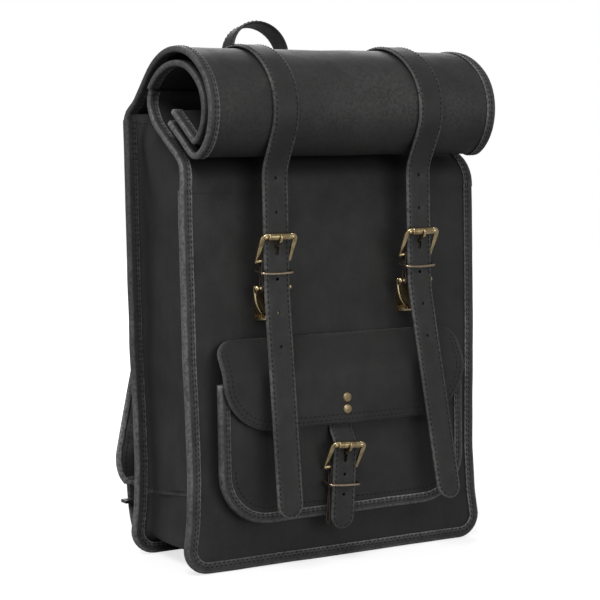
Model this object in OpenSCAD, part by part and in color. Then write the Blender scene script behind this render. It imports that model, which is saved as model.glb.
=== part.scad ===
// Roll-top leather backpack: a bound leather box with a rolled mouth, two buckled closure straps,
// a front pocket with a flap, a haul handle and two shoulder straps.
// Origin: on the ground, under the middle of the body. X to the right, Y towards the wearer, Z up.

/* [Body] */
// Width of the body at its base, over the leather
base_w = 308; // [280:2:330]
// Width of the body above the waist
body_w = 302; // [276:2:324]
// How far each side pulls in at the waist
waist = 2.5; // [0:0.5:6]
// Distance between the outer faces of the front and back panels
body_d = 112; // [104:2:124]
// Thickness of the body leather
leather = 2.4; // [1.8:0.1:2.6]
// Width of the seam allowance that stands out of the box
flange = 14; // [11:0.5:16]
// Radius of the two lower corners of a panel
corner_r = 20; // [18:1:26]
// Height of the seam between a gusset and the base leather
seam_z = 62; // [50:1:80]

/* [Binding] */
// How far the binding reaches over a panel
binding_w = 10; // [8:0.5:12]
// Thickness of the binding leather outside the edge
binding_t = 1.6; // [1.2:0.1:1.8]

/* [Roll top] */
// Width of the two rolled tongues
tongue_w = 292; // [260:2:296]
// Thickness of a tongue
tongue_t = 3; // [2:0.5:3.5]
// Space between the outer tongue's face and the inner tongue's face
layer_gap = 12; // [10:0.5:13]

/* [Closure straps] */
// Distance of each strap's centre from the middle
strap_x = 74.5; // [68:0.5:84]
// Width of a strap
strap_w = 25.5; // [22:0.5:26]
// Thickness of a strap
strap_t = 3.4; // [2.6:0.2:3.6]
// Diameter of a punched strap hole
hole_d = 3; // [2.5:0.5:4]
// Distance between punched holes
hole_pitch = 29.5; // [26:0.5:30]
// Sideways lean of the right strap's loose end
right_tail_lean = 5.5; // [0:0.5:6]

/* [Hardware] */
// Outer width of a buckle frame
buckle_w = 36; // [35:0.5:38]
// Radius of a buckle's bars
bar_r = 1.8; // [1.6:0.1:1.9]
// Outer radius of a buckle's roller
roller_r = 3.4; // [3:0.1:3.6]
// Play between a roller and its bar
roller_play = 0.06; // [0.02:0.01:0.1]
// Radius of the wire of a keeper
wire_r = 1.25; // [1:0.05:1.4]

/* [Pocket] */
// Width of the front pocket and of its flap
pocket_w = 252; // [220:2:256]
// Height of the pocket's lower edge
pocket_z = 43; // [38:1:50]
// Height of the pocket's mouth
pocket_mouth = 166; // [150:1:168]
// How far the pocket's front stands in front of the body
pocket_d = 15; // [14:0.5:16]
// Height of the seam that holds the flap
flap_z = 203; // [198:1:206]
// Height of the flap's lower edge
flap_low = 123.5; // [116:0.5:130]

/* [Carry] */
// Width of the haul handle's strap
handle_w = 25; // [20:1:30]
// Length of the haul handle from its hinge line to its crown
handle_l = 94; // [80:1:100]
// Backward lean of the haul handle at rest
handle_lean = 9; // [4:1:14]
// Width of a shoulder strap
shoulder_w = 58; // [50:1:62]
// Thickness of a padded shoulder strap
shoulder_t = 12; // [8:1:13]

/* [Hidden] */
$fn = 48;

black = "#26262a";
edge_grey = "#5c5c60";
inside = "#7a6248";
brass = "#a9854c";
play = 0.2;                                   // clearance between sewn layers
front_y = -body_d / 2;                        // outer face of the front panel
back_y = body_d / 2;                          // outer face of the back panel
panel_z = binding_t;                          // the panels' lower edge sits inside the binding
panel_top = 338;                              // where the front panel starts to fold back
back_top = 403;                               // where the back panel turns into its tongue
web = flange - 2;                             // how far a gusset's outer face is set in
binding_y = binding_t + play;                 // binding over a panel's face

// ---------- outlines ----------
// The right half of a panel: a rounded lower corner, then the side through a few levels.
function side_levels() = [[85, body_w / 2 - waist], [190, body_w / 2], [420, body_w / 2 + 0.5]];
function right_half(half, r, low, levels, top, d) = concat(
    [for (a = [-90:10:0]) [half - r + (r + d) * cos(a), low + r + (r + d) * sin(a)]],
    [for (l = levels) if (l[0] < top) [l[1] + d, l[0]]],
    [[lookup(top, levels) + d, top]]);
function closed(half) = concat(half, [for (i = [len(half) - 1:-1:0]) [-half[i][0], half[i][1]]]);
function body_outline(d, top) = closed(right_half(base_w / 2, corner_r, panel_z, side_levels(), top, d));
pocket_r = 44;                                // radius of the pocket's lower corners
function pocket_outline(d, top) = closed(right_half(pocket_w / 2, pocket_r, pocket_z,
    [[pocket_z + pocket_r + 1, pocket_w / 2], [400, pocket_w / 2]], top, d));

// A plate with an outline in X and Z, between two Y values.
module plate(outline, y0, y1) {
    translate([0, y1, 0]) rotate([90, 0, 0]) linear_extrude(y1 - y0) polygon(outline);
}
// A plate with a profile in Y and Z, centred on x.
module rail(profile, w, x = 0) {
    translate([x - w / 2, 0, 0]) rotate([90, 0, 90]) linear_extrude(w) polygon(profile);
}
// A box between two corners.
module block(low, high) {
    translate(low) cube(high - low);
}
// A round bar along X, centred on x at a point of the YZ plane.
module bar(r, w, p, x = 0) {
    translate([x - w / 2, p[0], p[1]]) rotate([0, 90, 0]) cylinder(r = r, h = w);
}

// ---------- paths in the YZ plane ----------
// A path is a start point, a heading in degrees and steps of [length, turn].
rad = PI / 180;
function turn_to(p, h, s, t) = s[1] == 0
    ? p + s[0] * t * [cos(h), sin(h)]
    : let (r = s[0] / (s[1] * rad))
        p + r * [sin(h + s[1] * t) - sin(h), cos(h) - cos(h + s[1] * t)];
function trail(p, h, steps, i = 0) = i == len(steps) ? [p]
    : let (s = steps[i], n = max(1, ceil(abs(s[1]) / 8)))
        concat([for (k = [0:n - 1]) turn_to(p, h, s, k / n)],
            trail(turn_to(p, h, s, 1), h + s[1], steps, i + 1));
function walk(p, h, steps, i = 0) = i == len(steps) ? p
    : walk(turn_to(p, h, steps[i], 1), h + steps[i][1], steps, i + 1);
function normal(h) = [-sin(h), cos(h)];       // points to the left of the heading
function reversed(list) = [for (i = [len(list) - 1:-1:0]) list[i]];
// The trail that runs beside a path at distance d to its left.
function beside(p, h, steps, d) = trail(p + d * normal(h), h,
    [for (s = steps) [s[0] - d * s[1] * rad, s[1]]]);
function strip(p, h, steps, d0, d1) = concat(beside(p, h, steps, d0), reversed(beside(p, h, steps, d1)));

// ---------- the roll ----------
// The outer tongue leaves the back panel, rises forward, crosses the top and curls once under itself.
rise_p = [back_y + 1, back_top + 3];
rise_h = 139.5;
rise = [[50, 0]];
top_p = walk(rise_p, rise_h, rise);
top_h = rise_h;
crown = [[120, 85.8]];
curl_p = walk(top_p, top_h, crown);
curl_h = top_h + crown[0][1];
crest_turn = 74.7;                            // part of the front bend that the straps follow
front_bend_r = 43.6;
crest = [[front_bend_r * crest_turn * rad, crest_turn]];
under = [[front_bend_r * 34 * rad, 34], [20, 62], [44, 0]];
leg_p = walk(curl_p, curl_h, crest);
leg_h = curl_h + crest_turn;
fold_p = [front_y + 1.2, panel_top + 0.5];    // the front tongue's lower part lies over the gussets
fold = [[26, -57], [52, 0], [24, 35]];
strap_in = -0.4;                              // a closure strap lies this far outside the roll
strap_out = strap_in - strap_t;
gap = 0.5;                                    // between the stiff lengths of the roll

// The stretch of one step that is left when both its ends are cut back.
function share(s, cut) = cut / s[0];
function later(p, h, s, cut) = turn_to(p, h, s, share(s, cut));
function shorter(s, cut) = [s[0] - cut, s[1] * (1 - share(s, cut))];
module layer(p, h, first, rest, end_gap, d0, d1, w, x = 0) {
    rail(strip(later(p, h, first, gap), h + first[1] * share(first, gap),
        concat([shorter(first, gap + end_gap)], rest), d0, d1), w, x);
}
module tongue(p, h, first, rest, end_gap, d) layer(p, h, first, rest, end_gap, d, d + tongue_t, tongue_w);
module strap_pair(p, h, first) {
    for (side = [-1, 1]) layer(p, h, first, [], gap, strap_out, strap_in, strap_w, side * strap_x);
}

module back_tongue_rise() color(black) tongue(rise_p, rise_h, rise[0], [], gap, 0);
module back_tongue_top() color(black) tongue(top_p, top_h, crown[0], [], gap, 0);
module back_tongue_curl() color(black) tongue(curl_p, curl_h, crest[0], under, 0, 0);
module front_tongue_rise() {
    inset = 18;                               // the front tongue meets the back tongue above the gussets
    color(black) tongue(later(rise_p, rise_h, rise[0], inset), rise_h, shorter(rise[0], inset), [], gap, layer_gap);
}
module front_tongue_top() color(black) tongue(top_p, top_h, crown[0], [], gap, layer_gap);
module front_tongue_curl() color(black) tongue(curl_p, curl_h, crest[0], under, 0, layer_gap);
module closure_straps_rise() color(black) strap_pair(rise_p, rise_h, rise[0]);
module closure_straps_top() color(black) strap_pair(top_p, top_h, crown[0]);
module closure_straps_crest() color(black) strap_pair(curl_p, curl_h, crest[0]);
module front_fold() color(black) rail(strip(fold_p, 90, fold, -leather / 2, leather / 2), tongue_w);

// ---------- body shell ----------
module front_panel() color(black) plate(body_outline(0, panel_top), front_y, front_y + leather);
module back_panel() color(black) plate(body_outline(0, back_top), back_y - leather, back_y);

// The leather that joins the two panels: a web set in from the edge, and flanges sewn to the panels.
module wall(low, high) {
    inner_y = back_y - leather - play;
    intersection() {
        union() {
            difference() {
                plate(body_outline(-web, 420), -inner_y, inner_y);
                plate(body_outline(-flange, 421), -inner_y - 1, inner_y + 1);
            }
            for (side = [-1, 1]) difference() {
                y = side * (inner_y - leather / 2);
                plate(body_outline(-0.3, 420), y - leather / 2, y + leather / 2);
                plate(body_outline(-flange, 421), y - leather, y + leather);
            }
        }
        block([-200, -100, low], [200, 100, high]);
    }
}
module gusset(side) {
    color(black) difference() {
        intersection() {
            wall(seam_z + play, 400);
            block([side > 0 ? 0 : -200, -100, 0], [side > 0 ? 200 : 0, 100, 420]);
        }
        // The top is cut on a slope that runs under the folded front tongue.
        translate([-200, front_y + 2, 336]) rotate([28.5, 0, 0]) cube([400, 200, 200]);
    }
}
module left_gusset() gusset(-1);
module right_gusset() gusset(1);
module bottom_panel() color(black) wall(0, seam_z);

// Binding folded over a panel and a flange, from the top of one side round to the other.
module rim_binding(outer, inner, slot, y_out, y_in, slot_out, slot_in) {
    difference() {
        plate(outer, y_out, y_in);
        plate(inner, y_out - 1, y_in + 1);
        plate(slot, slot_out, slot_in);
    }
}
join_x = 30;                                  // where the two ends of a panel's binding meet under the base
module body_binding(top) {
    difference() {
        rim_binding(body_outline(binding_t, top), body_outline(-binding_w, top + 1), body_outline(0.1, top + 1),
            front_y - binding_y, front_y + 2 * leather + play + binding_y,
            front_y - 0.1, front_y + 2 * leather + play + 0.1);
        block([join_x - play, front_y - 5, -1], [join_x + play, front_y + 15, 20]);
    }
}
module front_binding() color(edge_grey) body_binding(panel_top - 4);
module back_binding() color(edge_grey) mirror([0, 1, 0]) body_binding(back_top - 5);

// ---------- inside ----------
lining_t = 1;
lining_y = [front_y + leather + play, back_y - leather - play];
module lining() {
    color(inside) difference() {
        plate(body_outline(-flange - play, panel_top), lining_y[0], lining_y[1]);
        plate(body_outline(-flange - play - lining_t, panel_top + 1),
            lining_y[0] + lining_t, lining_y[1] - lining_t);
    }
}
module laptop_sleeve() {
    sleeve_w = 246;
    sleeve_d = 14;
    y = lining_y[1] - lining_t - play;
    color(inside) difference() {
        block([-sleeve_w / 2, y - sleeve_d, 22], [sleeve_w / 2, y, 280]);
        block([-sleeve_w / 2 + 2, y - sleeve_d + 2, 24], [sleeve_w / 2 - 2, y + 1, 281]);
    }
}
module base_board() {
    color("#8a7a5a") block([-122, lining_y[0] + 3, 17.2], [122, lining_y[1] - 17, 19.2]);
}

// ---------- front pocket ----------
pocket_y = front_y - pocket_d;                // outer face of the pocket's front
module pocket_front() color(black) plate(pocket_outline(0, pocket_mouth), pocket_y, pocket_y + leather);
module pocket_gusset() {
    out_y = pocket_y + leather + play;
    in_y = front_y - play;
    skin = 2;
    set_in = 12;
    color(black) difference() {
        union() {
            plate(pocket_outline(-set_in, pocket_mouth), out_y, in_y);
            plate(pocket_outline(-0.3, pocket_mouth), out_y, out_y + skin);
            plate(pocket_outline(-set_in + 8, pocket_mouth), in_y - skin, in_y);
        }
        plate(pocket_outline(-set_in - skin, pocket_mouth + 1), out_y - 1, in_y + 1);
    }
}
module pocket_binding() {
    skin = 2;
    color(edge_grey) rim_binding(pocket_outline(binding_t, pocket_mouth), pocket_outline(-9, pocket_mouth + 1),
        pocket_outline(0.1, pocket_mouth + 1), pocket_y - binding_y, pocket_y + leather + play + skin + binding_y,
        pocket_y - 0.1, pocket_y + leather + play + skin + 0.1);
}

// The flap hangs from its seam, slopes out over the pocket's mouth and drops in front of it.
flap_t = 2.6;
flap_p = [front_y - 2.6, flap_z - 1.5];
flap_h = 240;
flap_steps = [[26, 0], [14, 30], [60, 0]];
flap_face = walk(flap_p, flap_h, flap_steps)[0];   // the lower flap's inner face
module pocket_flap() {
    low_r = 46;
    top_r = 16;
    half = pocket_w / 2 + 0.5;
    lower = [for (a = [-90:10:0]) [half - low_r + low_r * cos(a), flap_low + low_r + low_r * sin(a)]];
    upper = [for (a = [0:15:90]) [half - top_r + top_r * cos(a), flap_z - top_r + top_r * sin(a)]];
    color(black) intersection() {
        rail(strip(flap_p, flap_h, flap_steps, -flap_t, 0), pocket_w + 10);
        plate(closed(concat(lower, upper)), pocket_y - 40, front_y);
    }
}
rivet_z = [147, 136.5];
rivet_x = -3;
module flap_rivets() {
    color(brass) for (z = rivet_z) {
        translate([rivet_x, flap_face - flap_t, z]) rotate([90, 0, 0]) cylinder(r = 4.5, h = 1.4);
    }
}
// A magnetic snap keeps the flap shut: its stud is on the flap and its socket on the pocket.
magnet_z = 160;
magnet_r = 6;
magnet_t = 1.3;
module magnet_stud() {
    color(brass) translate([0, flap_face + 0.1, magnet_z]) rotate([-90, 0, 0]) cylinder(r = magnet_r, h = magnet_t);
}
module magnet_socket() {
    color(brass) translate([0, pocket_y - 0.1, magnet_z]) rotate([90, 0, 0]) cylinder(r = magnet_r, h = magnet_t);
}

// ---------- buckles ----------
// A buckle stands in front of its strap at the roller and passes behind it at the heel bar.
// leg_y is the strap's middle plane, heel_z the height of the heel bar.
heel_back = 6.4;                              // heel bar behind the strap's middle plane
roller_front = 5.9;                           // roller bar in front of it
roller_rise = 21;                             // roller bar above the heel bar
function heel(leg_y, heel_z) = [leg_y + heel_back, heel_z];
function head(leg_y, heel_z) = [leg_y - roller_front, heel_z + roller_rise];
tilt = atan((heel_back + roller_front) / roller_rise);
frame_l = norm([heel_back + roller_front, roller_rise]);

module buckle_frame(leg_y, heel_z) {
    arm = 3.4;
    round_r = 5;
    thick = 3;
    over = 3.2;                               // frame beyond the roller bar
    under_heel = 2.6;
    inner = buckle_w / 2 - arm;
    color(brass) {
        translate([0, heel(leg_y, heel_z)[0], heel_z]) rotate([90 + tilt, 0, 0])
        translate([0, 0, -thick / 2]) linear_extrude(thick) difference() {
            union() {
                translate([-buckle_w / 2, -under_heel]) square([buckle_w, frame_l + under_heel + over - round_r]);
                translate([-buckle_w / 2 + round_r, 0]) square([buckle_w - 2 * round_r, frame_l + over]);
                for (side = [-1, 1])
                    translate([side * (buckle_w / 2 - round_r), frame_l + over - round_r]) circle(r = round_r);
            }
            translate([-inner, -under_heel - 1]) square([2 * inner, frame_l + under_heel - 4]);
            translate([-inner + 2.5, -under_heel - 1]) square([2 * inner - 5, frame_l + under_heel + over + 2]);
        }
        bar(bar_r, buckle_w - 2, heel(leg_y, heel_z));
        bar(bar_r, buckle_w - 6, head(leg_y, heel_z));
    }
}
module buckle_roller(leg_y, heel_z) {
    roller_l = 22;
    color(brass) difference() {
        bar(roller_r, roller_l, head(leg_y, heel_z));
        bar(bar_r + roller_play, roller_l + 2, head(leg_y, heel_z));
    }
}
// The prong turns on the heel bar, comes through the strap and rests in front of the roller.
module buckle_prong(leg_y, heel_z) {
    prong_w = 2.6;
    p = heel(leg_y, heel_z);
    h = head(leg_y, heel_z);
    eye = bar_r + 1.6;
    shank = [p + [-eye, 0], p + [-eye, 4], [leg_y + 1.5, heel_z + 9.5], [h[0], h[1] - roller_r - 3.2],
        [h[0] - roller_r - 1.4, h[1] - 3.6], [h[0] - roller_r - 2.6, h[1] + 0.6],
        [h[0] - roller_r - 0.5, h[1] + 0.6], [h[0] - roller_r + 0.2, h[1] - 2.8],
        [h[0] + 0.2, h[1] - roller_r - 0.7], [leg_y + 1.6, heel_z + 12], p + [0.6, eye - 0.4]];
    color(brass) difference() {
        union() {
            bar(eye, prong_w, p);
            rail(shank, prong_w);
        }
        bar(bar_r + 0.08, prong_w + 2, p);
    }
}
module wire_keeper(leg_y, z, back) {
    half = 15.2;
    bend_r = 2.2;
    front = leg_y - strap_t / 2 - wire_r - 0.5;
    span = back - front - 2 * bend_r;
    color("#8d8778") union() {
        for (y = [front, back]) bar(wire_r, 2 * (half - bend_r), [y, z]);
        for (side = [-1, 1]) {
            translate([side * half, front + bend_r, z]) rotate([-90, 0, 0]) cylinder(r = wire_r, h = span);
            for (end = [[front + bend_r, side > 0 ? 270 : 180], [back - bend_r, side > 0 ? 0 : 90]])
                translate([side * (half - bend_r), end[0], z]) rotate([0, 0, end[1]])
                    rotate_extrude(angle = 90) translate([bend_r, 0]) circle(r = wire_r);
        }
    }
}

// ---------- closure strap: hanging leg, chape, clasp and tail ----------
leg_steps = [[26, 0], [14, -30]];
leg_start = leg_p + (strap_in + strap_out) / 2 * normal(leg_h) + gap * [cos(leg_h), sin(leg_h)];
leg_bend = walk(leg_start, leg_h, leg_steps);
leg_y = leg_bend[0];                          // middle plane of the hanging leg
leg_low = 245.5;
leg_hole_z = 343.5;                           // the highest hole
tail_hole_z = 227;                            // the first hole of the loose end
heel_z = 272;
chape_low = 247.5;
chape_t = 2.1;
clasp_bar = [leg_y + heel_back + 0.4, 248.5];
catch_z = 229;

module punched(z) {
    translate([0, leg_y - 20, z]) rotate([-90, 0, 0]) cylinder(d = hole_d, h = 40);
}
module strap_leg() {
    slot_w = 4.2;
    color(black) difference() {
        rail(strip(leg_start, leg_h, concat(leg_steps, [[leg_bend[1] - leg_low, 0]]), -strap_t / 2, strap_t / 2),
            strap_w);
        for (z = [leg_hole_z, leg_hole_z - hole_pitch, leg_hole_z - 3 * hole_pitch + 1]) punched(z);
        block([-slot_w / 2, leg_y - 5, heel_z + 7], [slot_w / 2, leg_y + 5, heel_z + 17.5]);
    }
}
// Two layers of leather folded over a bar, with the gap between them left open.
module folded_chape(w, bar_p, low, t) {
    r = bar_r + 0.2;
    color(inside) difference() {
        union() {
            bar(r + t, w, bar_p);
            rail([bar_p + [-r - t, 0], bar_p + [r + t, 0], [bar_p[0] + r + t, low], [bar_p[0] - r - t, low]], w);
        }
        bar(r, w + 2, bar_p);
        rail([bar_p + [-r, 0], bar_p + [r, 0], [bar_p[0] + 0.6, bar_p[1] - 9], [bar_p[0] - 0.6, bar_p[1] - 9]], w + 2);
        // slot for the prong's eye
        block([-2, bar_p[0] - 10, bar_p[1] - 5], [2, bar_p[0] + 10, bar_p[1] + 10]);
    }
}
module strap_chape() {
    difference() {
        folded_chape(strap_w - 0.5, heel(leg_y, heel_z), chape_low - 1.5, chape_t);
        color(inside) bar(bar_r + 0.2, strap_w + 2, clasp_bar);
    }
}
// The clasp is a dished shield on a bar; its foot catches under the bar of the catch.
shield = [[-17, 0], [17, 0], [16, -11], [11, -23], [-11, -23], [-16, -11]];
module clasp() {
    y = clasp_bar[0] + 4.4;
    t = 1.6;
    ear = 2.2;
    color(brass) {
        bar(bar_r, 33.5, clasp_bar);
        translate([0, y + t, clasp_bar[1]]) rotate([90, 0, 0]) linear_extrude(t)
            polygon([for (p = shield) p - [0, 2.6]]);
        for (side = [-1, 1]) {
            x = side * (17 - ear / 2);
            block([x - ear / 2, clasp_bar[0] - 2.7, clasp_bar[1] - 9], [x + ear / 2, y + 0.4, clasp_bar[1] + 2.7]);
            bar(2.4, 2.2, clasp_bar, side * 14);
        }
        block([-6, y + 0.3, catch_z - 7.5], [6, y + 7, catch_z - 5.2]);
    }
}
module clasp_catches() {
    y = clasp_bar[0] + 4.4;
    half = 8.8;                               // just clear of the clasp's foot on both sides
    post = 2.4;
    for (side = [-1, 1]) color(brass) translate([side * strap_x, 0, 0]) {
        bar(1.5, 2 * half - post, [y + 4.4, catch_z - 2.2]);
        for (s = [-1, 1]) {
            x = s * (half - post / 2);
            block([x - post / 2, y + 3, catch_z - 3.6], [x + post / 2, front_y - 0.1, catch_z + 8]);
        }
        block([-half, front_y - 1.7, catch_z - 10], [half, front_y - 0.1, catch_z + 12]);
    }
}
tail_lean = 5;                                // the loose end hangs away from the body
tail_l = 196;
module strap_tail(lean) {
    start = [leg_y, leg_low - 1.8];
    h = 270 - tail_lean;
    color(black) translate([0, 0, start[1]]) rotate([0, -lean, 0]) translate([0, 0, -start[1]]) difference() {
        union() {
            rail(strip(start, h, [[tail_l - strap_w / 2, 0]], -strap_t / 2, strap_t / 2), strap_w);
            translate([0, start[0] + (tail_l - strap_w / 2) * cos(h), start[1] + (tail_l - strap_w / 2) * sin(h)])
                rotate([90 - tail_lean, 0, 0]) cylinder(d = strap_w, h = strap_t, center = true);
        }
        for (z = [tail_hole_z, tail_hole_z - hole_pitch]) punched(z);
    }
}
module closure(side) translate([side * strap_x, 0, 0]) children();
module left_strap_leg() closure(-1) strap_leg();
module right_strap_leg() closure(1) strap_leg();
module left_chape() closure(-1) strap_chape();
module right_chape() closure(1) strap_chape();
module left_buckle_frame() closure(-1) buckle_frame(leg_y, heel_z);
module right_buckle_frame() closure(1) buckle_frame(leg_y, heel_z);
module left_roller() closure(-1) buckle_roller(leg_y, heel_z);
module right_roller() closure(1) buckle_roller(leg_y, heel_z);
module left_prong() closure(-1) buckle_prong(leg_y, heel_z);
module right_prong() closure(1) buckle_prong(leg_y, heel_z);
// Middle of a keeper's back wire, behind a chape whose leather is t thick.
function keeper_back(leg_y, t) = leg_y + heel_back + bar_r + 0.2 + t + wire_r + 0.3;
module left_keeper() closure(-1) wire_keeper(leg_y, 262.5, keeper_back(leg_y, chape_t));
module right_keeper() closure(1) wire_keeper(leg_y, 262.5, keeper_back(leg_y, chape_t));
module left_clasp() closure(-1) clasp();
module right_clasp() closure(1) clasp();
module left_tail() closure(-1) strap_tail(0);
module right_tail() closure(1) strap_tail(right_tail_lean);

// ---------- pocket strap ----------
pocket_strap_w = 24;
pocket_heel_z = 85;
pocket_chape_t = 1.5;
// The strap is riveted behind the flap, clears the flap's edge and hangs in front of its chape.
pocket_strap_p = [flap_face + 0.2 + strap_t / 2, 152];
pocket_strap_steps = [[28, 0], [8, -40], [8, 0], [8, 40]];
pocket_bend = walk(pocket_strap_p, 270, pocket_strap_steps);
pocket_leg_y = pocket_bend[0];
module on_pocket() translate([-6, 0, 146]) rotate([0, 4, 0]) translate([0, 0, -146]) children();
module pocket_strap() {
    end_z = 30 + pocket_strap_w / 2;
    slot_w = 4.2;
    steps = concat(pocket_strap_steps, [[pocket_bend[1] - end_z, 0]]);
    color(black) on_pocket() difference() {
        union() {
            rail(strip(pocket_strap_p, 270, steps, -strap_t / 2, strap_t / 2), pocket_strap_w);
            translate([0, pocket_leg_y, end_z]) rotate([90, 0, 0])
                cylinder(d = pocket_strap_w, h = strap_t, center = true);
        }
        for (z = [79, 61]) translate([0, pocket_leg_y - 10, z]) rotate([-90, 0, 0]) cylinder(d = hole_d, h = 20);
        block([-slot_w / 2, pocket_leg_y - 5, pocket_heel_z + 7],
            [slot_w / 2, pocket_leg_y + 5, pocket_heel_z + 17.5]);
    }
}
module pocket_chape() on_pocket()
    folded_chape(pocket_strap_w - 1, heel(pocket_leg_y, pocket_heel_z), 33, pocket_chape_t);
module pocket_buckle_frame() on_pocket() buckle_frame(pocket_leg_y, pocket_heel_z);
module pocket_roller() on_pocket() buckle_roller(pocket_leg_y, pocket_heel_z);
module pocket_prong() on_pocket() buckle_prong(pocket_leg_y, pocket_heel_z);
module pocket_keeper() on_pocket()
    wire_keeper(pocket_leg_y, 71, keeper_back(pocket_leg_y, pocket_chape_t));

// ---------- back: anchors, handle and shoulder straps ----------
module closure_anchors() {
    color(black) for (side = [-1, 1])
        block([side * strap_x - strap_w / 2, back_y + 2, 366], [side * strap_x + strap_w / 2, back_y + 2 + strap_t, 402]);
}
yoke_z = [322, 352];
handle_p = [back_y + 16.5, 399];              // hinge line of the haul handle
handle_r = 31;                                // outer radius of its crown
handle_t = 2.6;
// The yoke is a patch on the back; the handle's sewn ends stand out of it.
module back_yoke() {
    skin = [back_y + 0.2, back_y + 3];
    color(black) {
        block([-94, skin[0], yoke_z[0]], [94, skin[1], yoke_z[1]]);
        block([-46, skin[0], yoke_z[1] - 1], [46, skin[1], 396]);
        // The handle's ends slope away below, so that it can fold down behind them.
        for (side = [-1, 1])
            rail([[skin[0] + 1, 384], [handle_p[0] - 5.5, 384], handle_p + [2, -1], [skin[0] + 1, 398]],
                handle_t, side * (handle_r - handle_t / 2));
    }
}
module handle_loop() {
    leg = handle_l - handle_r;
    foot = 3;                                 // the loop starts this far above its hinge line
    color(black) translate([0, handle_p[0], handle_p[1]]) rotate([90 - handle_lean, 0, 0])
    translate([0, 0, -handle_w / 2]) linear_extrude(handle_w) {
        for (side = [-1, 1])
            translate([side * (handle_r - handle_t / 2) - handle_t / 2, foot]) square([handle_t, leg - foot + 0.1]);
        translate([0, leg]) difference() {
            circle(r = handle_r);
            circle(r = handle_r - handle_t);
            translate([-handle_r - 1, -handle_r - 1]) square([2 * handle_r + 2, handle_r + 1]);
        }
    }
}
// A padded shoulder strap leaves the yoke, bows away from the back and ends above a slide, from which
// a plain strap runs down to a tab at the base.
shoulder_x = 52;                              // centre of its upper end
shoulder_splay = 16.5;                        // lean away from the middle
shoulder_start = [back_y + 17, 336];
shoulder_h = 287.68;
shoulder_steps = [[40, 0], [138, -24], [118, -4]];
lower_x = 134;
tab_z = [6, 34];
shoulder_low = walk(shoulder_start, shoulder_h, shoulder_steps);
lower_start = [shoulder_low[0], shoulder_start[1] - (shoulder_start[1] - shoulder_low[1]) * cos(shoulder_splay) - 8];
module shoulder_strap(side) {
    color(black) translate([side * shoulder_x, 0, shoulder_start[1]])
    rotate([0, -side * shoulder_splay, 0]) translate([0, 0, -shoulder_start[1]])
        rail(strip(shoulder_start, shoulder_h, shoulder_steps, -shoulder_t / 2, shoulder_t / 2), shoulder_w);
}
lower_steps = [[6, 0], [22, -22], [12, 0]];
lower_h = 262;
module lower_strap(side) {
    color(black) rail(strip(lower_start, lower_h, lower_steps, -1.6, 1.6), strap_w, side * lower_x);
}
// A flat black metal loop that the lower strap is threaded through.
module slide(side) {
    rim = 3.2;
    slot = 5;
    y = lower_start[0] - 0.5;
    z = lower_start[1] - 3.6;
    color(black) difference() {
        translate([side * lower_x, y, z]) cube([strap_w + 2 + 2 * rim, slot + 2 * rim, 3], center = true);
        translate([side * lower_x, y, z]) cube([strap_w + 2, slot, 5], center = true);
    }
}
module left_shoulder_strap() shoulder_strap(-1);
module right_shoulder_strap() shoulder_strap(1);
module left_slide() slide(-1);
module right_slide() slide(1);
module left_lower_strap() lower_strap(-1);
module right_lower_strap() lower_strap(1);
module lower_tabs() {
    color(black) for (side = [-1, 1])
        block([side * lower_x - 14, back_y + 2, tab_z[0]], [side * lower_x + 14, back_y + 5, tab_z[1]]);
}

front_panel();
back_panel();
front_fold();
left_gusset();
right_gusset();
bottom_panel();
front_binding();
back_binding();
lining();
laptop_sleeve();
base_board();
pocket_front();
pocket_gusset();
pocket_binding();
closure_anchors();
back_yoke();
lower_tabs();
clasp_catches();
magnet_socket();
back_tongue_rise();
front_tongue_rise();
closure_straps_rise();
back_tongue_top();
front_tongue_top();
closure_straps_top();
back_tongue_curl();
front_tongue_curl();
closure_straps_crest();
left_strap_leg();
left_chape();
left_buckle_frame();
left_keeper();
left_clasp();
left_roller();
left_prong();
left_tail();
right_strap_leg();
right_chape();
right_buckle_frame();
right_keeper();
right_clasp();
right_roller();
right_prong();
right_tail();
pocket_flap();
flap_rivets();
pocket_strap();
pocket_chape();
pocket_buckle_frame();
pocket_keeper();
magnet_stud();
pocket_roller();
pocket_prong();
handle_loop();
left_shoulder_strap();
left_lower_strap();
right_shoulder_strap();
right_lower_strap();
left_slide();
right_slide();
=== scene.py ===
import math

import bpy
import bmesh
import numpy as np
from mathutils import Matrix, Vector, noise


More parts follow.
